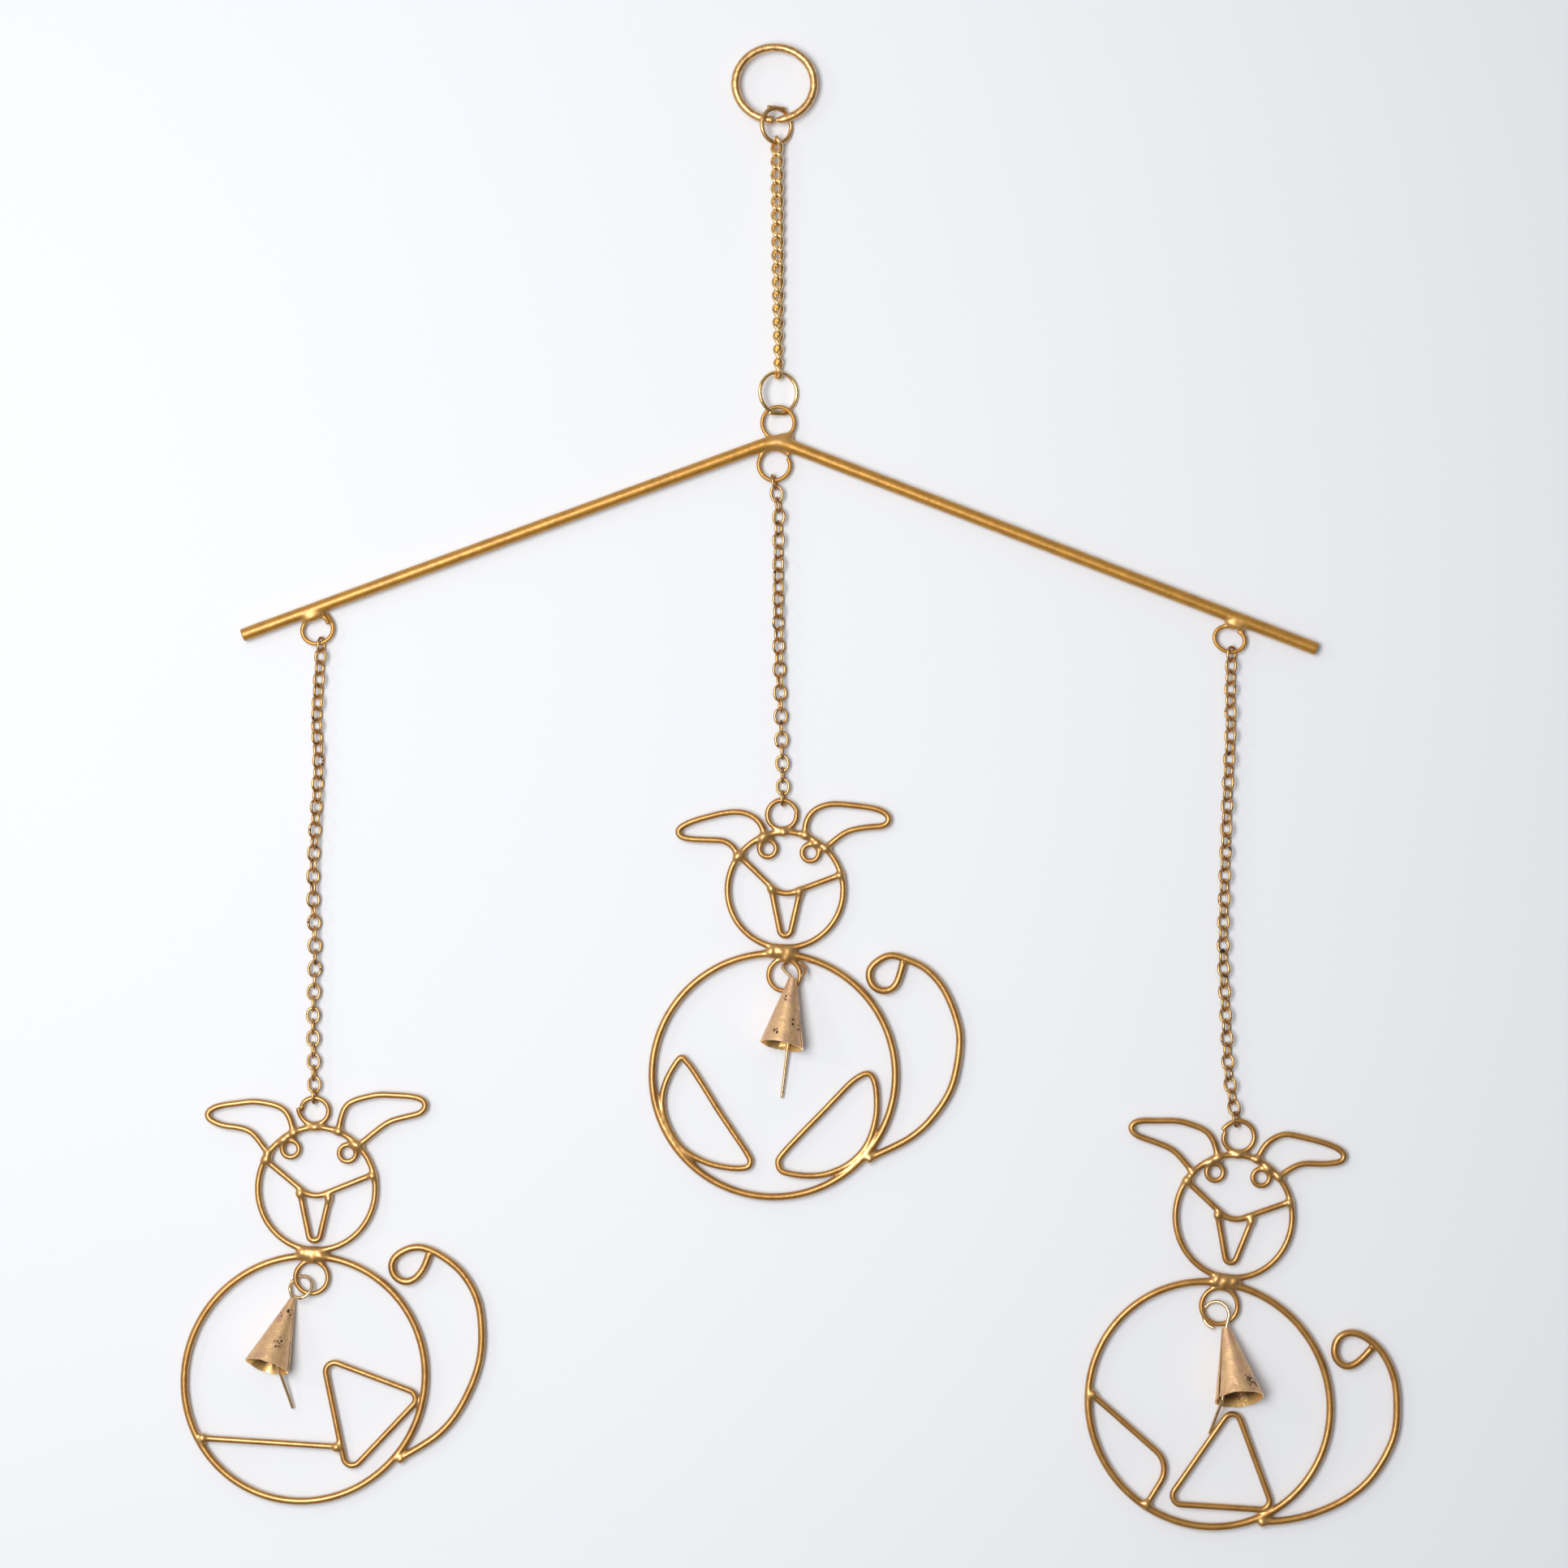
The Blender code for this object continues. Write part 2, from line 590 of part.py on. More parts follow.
def make_crossbar(crown_centre):
    """The bent rod and its welded rings. Returns it and the three rings that carry the chains."""
    drop = CROWN_RING_RADIUS + 0.5 * (ROD + CROWN_RING_WIRE) - CROWN_RING_SINK
    apex = np.array((APEX_X, crown_centre[1] - drop))
    # Both arms' centre lines meet above the apex, which the bend cuts short
    bend_rise = ROD_BEND_RADIUS * (1.0 / math.cos(math.radians(0.5 * (LEFT_SLOPE + RIGHT_SLOPE))) - 1.0)
    corner = apex + (0.0, bend_rise)
    ends = [corner + bar_point(-1, LEFT_ARM), corner + bar_point(1, RIGHT_ARM)]
    rims = [corner + bar_point(-1, LEFT_ARM - ROD_CHAMFER), corner + bar_point(1, RIGHT_ARM - ROD_CHAMFER)]
    rod_line = bent([ends[0], apex, ends[1]], ROD_BEND_RADIUS, steps=5)
    path = np.vstack((ends[:1], rims[:1], rod_line[1:-1], rims[1:], ends[1:]))
    end_share = 1.0 - 2.0 * ROD_CHAMFER / ROD
    swell = [end_share] + [1.0] * (len(path) - 2) + [end_share]
    rod = wire(place(path, BAR_DEPTH), ROD, fineness=4, swell=swell)

    crown = (CROWN_RING_RADIUS, CROWN_RING_RADIUS, 0.0)
    pieces = [rod, wire(place(oval_points(crown_centre, crown, RING_SIDES), BAR_DEPTH), CROWN_RING_WIRE, closed=True)]
    foot_radius = FOOT_RING_RADIUS
    foot_drop = foot_radius + 0.5 * (ROD + FOOT_RING_WIRE) - FOOT_RING_SINK
    foot_centre = np.array((FOOT_RING_X, apex[1] - foot_drop))
    rings = {"centre": (foot_centre, (foot_radius, foot_radius, 0.0), FOOT_RING_WIRE)}
    pieces.append(wire(place(oval_points(foot_centre, rings["centre"][1], RING_SIDES), BAR_DEPTH), FOOT_RING_WIRE,
                       closed=True))
    crown_foot = np.array((APEX_X, apex[1] + 0.5 * ROD))
    pieces.append(bead(crown_foot + CROWN_WELD_AT, BAR_DEPTH, CROWN_WELD, 18.0))
    for side, name, slope in ((-1, "left", LEFT_SLOPE), (1, "right", -RIGHT_SLOPE)):
        width, height, sink = END_RINGS[name]
        foot = corner + bar_point(side, END_RING_REACH)
        below = np.array((math.sin(math.radians(slope)), -math.cos(math.radians(slope))))
        centre = foot + below * (0.5 * (ROD + END_RING_WIRE + height) - sink)
        oval = (0.5 * width, 0.5 * height, slope)
        rings[name] = (centre, oval, END_RING_WIRE)
        pieces.append(wire(place(oval_points(centre, oval, LOOP_SIDES), BAR_DEPTH), END_RING_WIRE, closed=True))
        pieces.append(bead(foot + below * 0.5 * ROD, BAR_DEPTH, END_WELD, slope))
    return weld("crossbar", pieces), rings


def make_cat(name, cat, hook):
    """One cat, hung so that its ring's wire rests at the hook. Returns it and its bell ring."""
    hang = cat["hang"]
    top = 90.0 + cat["hang_contact"]
    hang_centre = polar(hook, top + 180.0, oval_reach(hang, top))
    head, body = cat["head"], cat["body"]
    face_gap = 0.5 * (LOOP_WIRE + FACE_WIRE) - 2 * WELD_SINK
    down = cat["head_under"]
    head_centre = polar(hang_centre, down, oval_reach(hang, down) + face_gap + oval_reach(head, down))
    down = cat["body_under"]
    neck = polar(head_centre, down, oval_reach(head, down) + 0.25 * (FACE_WIRE + BODY_WIRE))
    body_gap = 0.5 * (FACE_WIRE + BODY_WIRE) - 0.6 * WELD_SINK
    body_centre = polar(head_centre, down, oval_reach(head, down) + body_gap + oval_reach(body, down))
    ring_at = cat["bell_ring_at"]
    bell_ring = cat["bell_ring"]
    inset = 0.5 * (LOOP_WIRE + BODY_WIRE) - WELD_SINK
    bell_centre = polar(body_centre, ring_at, oval_reach(body, ring_at) - bell_ring - inset)

    def flat_wire(path, gauge, closed=False, fineness=0):
        return wire(place(path, CAT_DEPTH), gauge, closed, fineness)

    pieces = [
        flat_wire(oval_points(body_centre, straddled(body, BODY_SIDES), BODY_SIDES), BODY_WIRE, True, 1),
        flat_wire(oval_points(head_centre, straddled(head, HEAD_SIDES), HEAD_SIDES), FACE_WIRE, True, 1),
        bead(neck, CAT_DEPTH, NECK_WELD, down + 90.0),
        flat_wire(oval_points(hang_centre, hang, LOOP_SIDES), LOOP_WIRE, True),
        flat_wire(oval_points(bell_centre, (bell_ring, bell_ring, 0.0), LOOP_SIDES), LOOP_WIRE, True),
        flat_wire(facets(smooth(on_ring(body_centre, body, cat["tail"])), 26.0), BODY_WIRE, False, 1),
    ]
    for ear in ("left_ear", "right_ear"):
        pieces.append(flat_wire(facets(smooth(on_ring(head_centre, head, cat[ear])), 22.0), FACE_WIRE))
    for eye in cat["eyes"]:
        reach = oval_reach(head, eye) - EYE_RADIUS - 0.5 * (FACE_WIRE + EYE_WIRE) + WELD_SINK
        pieces.append(flat_wire(oval_points(polar(head_centre, eye, reach), (EYE_RADIUS, EYE_RADIUS, 0.0), 8),
                                EYE_WIRE, True))
    muzzle = bent(on_ring(head_centre, head, cat["muzzle"]), MUZZLE_BEND)
    pieces.append(flat_wire(facets(muzzle, 20.0), FACE_WIRE))
    nose = bent(on_ring(head_centre, head, cat["nose"]), NOSE_BEND)
    pieces.append(flat_wire(facets(nose, 38.0), FACE_WIRE))
    for leg in cat["bent_legs"]:
        path = bent(on_ring(body_centre, body, leg), LEG_BEND, closed=True)
        pieces.append(flat_wire(facets(path, 40.0, closed=True), FACE_WIRE, True))
    for leg in cat["round_legs"]:
        path = smooth(on_ring(body_centre, body, leg), closed=True)
        pieces.append(flat_wire(facets(path, 42.0, closed=True), FACE_WIRE, True))
    for leg in cat["open_legs"]:
        path = bent(on_ring(body_centre, body, leg), cat["open_leg_bend"])
        pieces.append(flat_wire(facets(path, 30.0), FACE_WIRE))
    return weld(name + "_cat", pieces), bell_centre


def bell_frame(cat, ring_centre):
    """The place and lean of a bell that points down its own -Z from the middle of its crown."""
    length, mouth = cat["bell"]
    tilt = math.radians(cat["bell_tilt"])
    x, z = polar(ring_centre, *cat["bell_at"])
    # The bell rests on the back of its mouth
    y = BOARD_DEPTH - CLEARANCE - 0.5 * mouth * math.cos(tilt) + length * math.sin(tilt)
    lean = Matrix.Rotation(math.radians(cat["bell_lean"]), 4, "Y")
    return Matrix.Translation((x, y, z)) @ lean @ Matrix.Rotation(-tilt, 4, "X")


def make_bell(name, cat, frame):
    """A cone of sheet with an open crown and mouth. The mouth is cut aslant, back and sideways."""
    sides = 16
    length, mouth = cat["bell"]
    gap = math.radians(cat["seam"])
    slant = math.tan(math.radians(cat["mouth_slant"]))
    skew = math.tan(math.radians(cat["mouth_skew"]))
    shape = bmesh.new()
    top = shape.verts.new((0.5 * BELL_CROWN * MM, 0.0, 0.0))
    rim = shape.verts.new((0.5 * mouth * MM, 0.0, -length * MM))
    shape.edges.new((top, rim))
    profile = bpy.data.meshes.new(name)
    shape.to_mesh(profile)
    shape.free()
    bell = mesh_object(name, profile)
    roll = bell.modifiers.new("roll", "SCREW")
    roll.angle = 2 * math.pi - gap
    roll.steps = roll.render_steps = sides
    roll.use_merge_vertices = gap == 0.0
    roll.merge_threshold = 0.00001
    bpy.context.view_layer.update()
    bell = settled(bell)
    bell.data.transform(Matrix.Rotation(math.radians(SEAM_TURN) + 0.5 * gap, 4, "Z"))
    for corner in bell.data.vertices:
        share = -corner.co.z / (length * MM)
        corner.co.z -= share * (slant * corner.co.y + skew * corner.co.x)
    wall = bell.modifiers.new("wall", "SOLIDIFY")
    wall.thickness = BELL_WALL * MM
    wall.offset = -1.0
    wall.use_even_offset = True
    bpy.context.view_layer.update()
    bell = settled(bell)
    bell.data.transform(Matrix.Scale(MM, 4) @ frame @ Matrix.Scale(1.0 / MM, 4))
    bell.name = name
    return bell


def in_frame(frame, points):
    """Points of a bell's own frame, where they are in the chime."""
    return np.array([tuple(frame @ Vector(point)) for point in points])


def make_hanger(name, cat, frame, ring_centre):
    """The wire from a cat's bell ring into the bell: a turned loop, a stem and an eye inside."""
    across, up, depth, radius = cat["hanger"]
    axis, turn = cat["hanger_turn"]
    centre = np.array(ring_centre) + (across, up)
    loop = place(oval_points(centre, (radius, radius, 0.0), 9, *cat["hanger_run"]), depth, centre, axis, turn)
    stem = in_frame(frame, [(0.0, 0.0, STEM_RISE), (0.0, 0.0, STEM_END * EYE_BEND - EYE_DROP)])
    bend = np.radians(np.linspace(45.0, 315.0, 6))
    eye = in_frame(frame, [(EYE_BEND * math.sin(a), 0.0, EYE_BEND * math.cos(a) - EYE_DROP) for a in bend])
    made = wire(np.vstack((loop, stem, eye)), HANGER_WIRE)
    made.name = name
    return made


def make_clapper(name, cat, frame):
    """The straight striker: an eye hooked in the hanger's eye and a wire out of the mouth."""
    drop = EYE_DROP + 2 * EYE_BEND - 0.5 * (HANGER_WIRE + CLAPPER_WIRE) - CLEARANCE
    bend = np.radians(np.linspace(-120.0, 170.0, 7))
    eye = in_frame(frame, [(0.0, -EYE_BEND * math.sin(a), EYE_BEND * math.cos(a) - drop) for a in bend])
    crown = in_frame(frame, [(0.0, 0.0, 0.0)])[0]
    reach = oval_reach(cat["body"], -90.0)
    shank = [(crown[0] + reach * x, depth, crown[2] + reach * z) for x, depth, z in cat["clapper"]]
    made = wire(np.vstack((eye, shank)), CLAPPER_WIRE)
    made.name = name
    return made


def main():
    """Build the chime from the hanging ring down, each piece hung from the one above."""
    clear_scene()
    parts = new_collection("iron_wind_chime")

    ring, ring_foot = make_hanging_ring()
    hand_over(ring, parts, "gold_plate")

    top_z = ring_foot + 0.5 * (HANG_WIRE + TOP_JUMP_WIRE) + CLEARANCE + TOP_JUMP_SLACK - TOP_JUMP_OVAL[1]
    top_jump = jump_ring("top_jump_ring", (TOP_JUMP_X, top_z), 0.0, TOP_JUMP_OVAL, TOP_JUMP_WIRE, TOP_JUMP_TURN, 1.0)
    hand_over(top_jump, parts, "gold_plate")

    hook = top_z - TOP_JUMP_OVAL[1] + 0.5 * (TOP_JUMP_WIRE + CURB_WIRE) + CURB_PLAY
    sway = ((0, 0), (1, LOW_JUMP_X - TOP_JUMP_X))
    curb, curb_end = chain("suspension_chain", CURB_LINKS, CURB_WIRE, CURB_INSIDE, CURB_HALF_WIDTH,
                           (TOP_JUMP_X, 0.0, hook), BAR_DEPTH, sway, CURB_TWIST, CURB_TURN, 0.0, CURB_DRIFT)
    hand_over(curb, parts, "gold_plate")

    low_z = curb_end[2] + 0.5 * (CURB_WIRE + LOW_JUMP_WIRE) + CURB_PLAY - LOW_JUMP_OVAL[1]
    low_jump = jump_ring("lower_jump_ring", (LOW_JUMP_X, low_z), BAR_DEPTH, LOW_JUMP_OVAL, LOW_JUMP_WIRE,
                         LOW_JUMP_TURN, -1.0)
    hand_over(low_jump, parts, "gold_plate")

    crown_z = (low_z - LOW_JUMP_OVAL[1] + 0.5 * (LOW_JUMP_WIRE + CROWN_RING_WIRE) + CLEARANCE + CROWN_RING_SLACK
               - CROWN_RING_RADIUS)
    crossbar, rings = make_crossbar(np.array((CROWN_RING_X, crown_z)))
    hand_over(crossbar, parts, "gold_paint")

    for name, cat in CATS.items():
        centre, oval, gauge = rings[name]
        angle = cat["bar_contact"] - 90.0
        contact = polar(centre, angle, oval_reach(oval, angle))
        rise = 0.5 * (gauge + LINK_WIRE) + LINK_PLAY
        start = (contact[0], BAR_DEPTH, contact[1] + rise)
        links, end = chain(name + "_chain", cat["links"], LINK_WIRE, cat["link_inside"], LINK_HALF_WIDTH, start,
                           CAT_DEPTH, cat["sway"], 0.0, cat["first_turn"], 90.0, cat["drift"])
        hand_over(links, parts, "chain_bronze")
        hook = (end[0], end[2] + 0.5 * (LOOP_WIRE + LINK_WIRE) + LINK_PLAY)
        body, ring_centre = make_cat(name, cat, hook)
        hand_over(body, parts, "gold_paint")

        frame = bell_frame(cat, ring_centre)
        hand_over(make_bell(name + "_bell", cat, frame), parts, "bell_brass")
        hand_over(make_hanger(name + "_bell_wire", cat, frame, ring_centre), parts, "wire_brass")
        hand_over(make_clapper(name + "_clapper", cat, frame), parts, "wire_brass")


main()
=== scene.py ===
"""Looks of the iron wind chime: three wire cats with cone bells under a bent crossbar.

Sizes are in millimetres until a mesh is made. +Z is up and the chime is seen from -Y. Angles
are in degrees, counterclockwise from +X as seen from the front. A wire is a round section
carried along a path. Welded wires are joined by a net of small faces, which is then settled on
one smooth skin that melts them together.
"""

import math

import bpy
import numpy as np
from mathutils import Matrix, Vector


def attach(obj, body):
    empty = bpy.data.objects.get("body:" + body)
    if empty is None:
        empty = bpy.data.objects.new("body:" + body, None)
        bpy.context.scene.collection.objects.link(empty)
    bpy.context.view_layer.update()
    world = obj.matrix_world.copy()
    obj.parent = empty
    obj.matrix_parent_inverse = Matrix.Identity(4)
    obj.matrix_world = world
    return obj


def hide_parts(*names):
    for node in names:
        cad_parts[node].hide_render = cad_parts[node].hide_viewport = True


bl_info = {
    "name": "Cat wind chime",
    "version": (1, 0, 0),
    "blender": (4, 5, 0),
    "location": "View3D > Sidebar > Chime",
    "description": "Gives a packed wind chime its finished wires, chains, bells and stage",
    "category": "Mesh",
}

MM = 0.001

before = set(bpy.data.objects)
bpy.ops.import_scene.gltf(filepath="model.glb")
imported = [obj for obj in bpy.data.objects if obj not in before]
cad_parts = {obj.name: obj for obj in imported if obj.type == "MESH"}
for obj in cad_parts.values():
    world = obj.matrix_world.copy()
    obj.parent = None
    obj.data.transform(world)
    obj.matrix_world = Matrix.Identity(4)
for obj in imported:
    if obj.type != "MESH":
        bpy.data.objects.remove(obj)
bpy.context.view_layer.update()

# How pieces hang in each other, how deep welds sink, and how far from the front pieces lie
CLEARANCE = 0.3
BITE = 0.08
WELD_SINK = 0.5
NECK_SINK = 0.3
BAR_DEPTH = 1.2
CAT_DEPTH = 1.4
BOARD_DEPTH = 3.8
BACKDROP_DEPTH = 4.15

# The hanging ring. A blow is a wave and a share, and an end a share and how soon it is full
HANG_OVAL = (14.55, 13.45, 0.0)
HANG_GAP = 0.7
HANG_SIDES = 36
HAMMER_BLOWS = ((3.4, 1.0), (1.6, 0.7))
HAMMER_DEPTH = 0.016
POINTED_END = (0.4, 13.0)
BLUNT_END = (0.72, 5.0)

# The jump rings and their flat tails
TOP_JUMP_OVAL = (6.35, 6.35, 0.0)
TOP_JUMP_X = 0.7
TOP_JUMP_TURN = 32.0
TOP_JUMP_SLACK = 1.6
LOW_JUMP_OVAL = (7.75, 7.5, 0.0)
LOW_JUMP_X = 1.4
LOW_JUMP_TURN = 28.5
TAB_LENGTH = 8.2
TAB_WIDTH = 1.4
TAB_SHIFT = 0.3
TAB_RISE = 0.15
TAB_TAPER = ((-1.0, -0.85, 0.7, 1.0), (0.85, 1.0, 1.0, 0.45))
RING_PLAY = 0.1
JUMP_MELT = 0.22
JUMP_GRAIN = 0.2

# The twisted chain. It turns slowly, by the drift, from its first link to its last. Its links are
# spaced by their gauge and drawn thicker than it, by the swell
CURB_LINKS = 17
CURB_INSIDE = 5.05
CURB_HALF_WIDTH = 1.64
CURB_TWIST = -70.0
CURB_SWELL = 1.27
CURB_TURN = -23.0
CURB_DRIFT = 102.0
CURB_PLAY = 0.5

# The crossbar. A cut is an angle, a gap, and how far its ends part sideways and in depth
ROD_BEND_RADIUS = 16.0
LEFT_ARM = 209.4
RIGHT_ARM = 213.9
LEFT_SLOPE = 20.1
RIGHT_SLOPE = 21.1
APEX_X = 0.3
CROWN_RING_RADIUS = 5.95
CROWN_RING_X = 1.3
CROWN_RING_SLACK = 0.5
CROWN_RING_SINK = 1.6
FOOT_RING_SINK = 1.15
FOOT_RING_RADIUS = 5.85
FOOT_RING_X = -0.1
CROWN_WELD = (8.6, 3.8, 4.2)
CROWN_WELD_AT = (2.1, -1.1)
CROWN_WELD_LEAN = 18.0
RING_CUTS = {
    "left": (46.0, -30.0, -2.6, 1.8),
    "centre": (29.0, 8.0, 0.9, 0.5),
    "right": (48.0, 8.0, 1.0, 0.6),
}
END_RING_REACH = 183.2
END_RINGS = {"left": (11.5, 10.0, 0.5), "right": (11.5, 9.2, -0.4)}
END_WELD = (7.4, 3.6, 3.4)
END_WELD_FORWARD = 0.45
BAR_MELT = 1.2
BAR_LUMP = 0.03

# The cable chains
LINK_HALF_WIDTH = 2.175
LINK_PLAY = 0.6
LINK_SQUARENESS = 0.88

# The cats. A dab's least and most sizes are shares of its wire's gauge
EYE_RADIUS = 3.1
MUZZLE_BEND = 8.0
NOSE_BEND = 2.1
LEG_BEND = 3.3
NECK_WELD = (9.6, 3.4, 4.4)
NECK_DABS = (-3.6, -0.4, 3.0)
DAB_FORWARD = 0.35
DAB_LEAST = (1.15, 0.95, 0.95)
DAB_MOST = (1.6, 1.2, 1.25)
DAB_STRAY = 0.35
WELD_REACH = 0.4
CURL_ROUNDS = 12
WELD_LUMP = 0.07

# The bells. A dent or pock is a wave and a share of the radius. The inside gets painted shade from a share of
# its depth
EYE_BEND = 1.6
EYE_DROP = 7.0
STEM_START = 0.6
STEM_END = 1.3
LAP = 14.0
LAP_STEP = 0.6
LAP_FROM = 0.9
LAP_EASE = 0.06
DENT = (13.0, 0.014)
POCK = (3.2, 0.006)
SHRINK = 0.012
RIM_WAVE = 0.15
PAINTED_SHADE_DEPTH = 0.98
PAINTED_SHADE_EASE = 0.1
SHARP_ANGLE = 50.0

# Steps along the wires' paths, and the cut ends of wires as shares of their radius
CAT_STEP = 0.7
RING_STEP = 0.5
JUMP_STEP = 0.4
LINK_STEP = 0.35
BELL_WIRE_STEP = 0.22
RIM_RISE = 0.18
RIM_WIDTH = 0.78
CUT_EASE = 0.12

# How wires melt together. Uneven places are a wave and a share or a height
HAMMER_SEED, JUMP_SEED, BAR_SEED, CAT_SEED, BELL_SEED, DAB_SEED = 5, 11, 21, 31, 41, 51
MELT_REACH = 6.0
MOST_STEP = 0.6
LEAST_SLOPE = 0.15
UNEVEN_WIRE = (9.0, 0.012)
UNEVEN_SKIN = (2.6, 0.014)
LUMP_WAVE = 3.4
END_KEPT = 1.3
END_EASE = 0.8
MOLTEN_FROM = 1.06
MOLTEN_EASE = 0.5

# The metals. Base and deep are colours of ChimeFinishes, and a number for deep darkens the base. Grain and
# patch are how fine the flakes and the patches of the deep colour are, and a coat is a weight, a roughness
# and an index of refraction. Grime is how fine its spots and clusters are, and an amount.
METALS = {
    "hammered_plate": {
        "base": "plate", "deep": 0.62, "rough": 0.4, "spread": 0.7, "grain": 1300.0, "patch": 480.0,
        "bump": 0.11, "coat": (0.6, 0.25, 1.6),
    },
    "polished_plate": {
        "base": "polished", "deep": 0.7, "rough": 0.28, "spread": 0.3, "grain": 1300.0, "patch": 420.0,
        "bump": 0.012, "coat": (0.8, 0.15, 1.6),
    },
    "cat_paint": {
        "base": "paint", "deep": "paint_deep", "rough": 0.41, "spread": 0.3, "grain": 2000.0,
        "patch": 150.0, "bump": 0.01, "coat": (0.8, 0.2, 1.55), "metallic": 0.8, "welded": True,
    },
    "bar_paint": {
        "base": "bar", "deep": 0.78, "rough": 0.46, "spread": 0.5, "grain": 1500.0, "patch": 230.0,
        "bump": 0.02, "coat": (0.5, 0.3, 1.6), "metallic": 0.6, "welded": True,
    },
    "link_bronze": {
        "base": "bronze", "deep": 0.6, "rough": 0.3, "spread": 0.2, "grain": 1500.0, "patch": 400.0,
        "bump": 0.01, "coat": (0.7, 0.15, 1.55), "grime": (900.0, 300.0, 1.0),
    },
    "rolled_brass": {
        "base": "brass", "deep": "blush", "rough": 0.52, "spread": 0.6, "grain": 1000.0, "patch": 260.0,
        "bump": 0.11, "coat": (0.4, 0.35, 1.5), "grime": (850.0, 80.0, 0.5), "inner_rough": 0.3,
        "metallic": 0.75,
    },
    "drawn_brass": {
        "base": "pale", "deep": 0.7, "rough": 0.32, "spread": 0.3, "grain": 1500.0, "patch": 500.0,
        "bump": 0.015, "coat": (0.8, 0.2, 1.6), "grime": (1100.0, 200.0, 0.8),
    },
}

# Where flakes and grime start and are full, how cells are warped, and what grime and welds change
PATCH_LIMITS = (0.35, 0.72)
CLUSTER_LIMITS = (0.52, 0.74)
SPOT_LIMITS = (-0.08, 0.1)
WARP_SCALE = 1500.0
WARP_REACH = 0.0008
PIT_SHARE = 0.22
GRIME_ROUGH = 0.35
GRIME_DEPTH = 1.5
# The share of the painted highlight colour that tints the welds
WELD_SHEEN_SHARE = 0.4

# The stage. A lamp is a place, a width and height, and a power
BOARD_REACH = 2600.0
STAGE_MIDDLE = -270.0
BOARD_SHADE = 0.97
BOARD_ROUGH = 0.9
BOARD_SHINE = 0.1
ROOM_BRIGHT_WAY = (-0.65, -0.4, 0.65)
LAMPS = {
    "key_softbox": ((-380.0, -1250.0, -190.0), (470.0, 920.0), 14.3),
    "side_lamp": ((-1160.0, -840.0, 176.0), (70.0, 110.0), 1.0),
}
LAMP_TINT = (1.0, 0.985, 0.96)
CAMERA_AT = (3.45, -1370.0, -270.7)
CAMERA_LENS = 85.1
CAMERA_SENSOR = 36.0
CAMERA_RANGE = (0.01, 20.0)

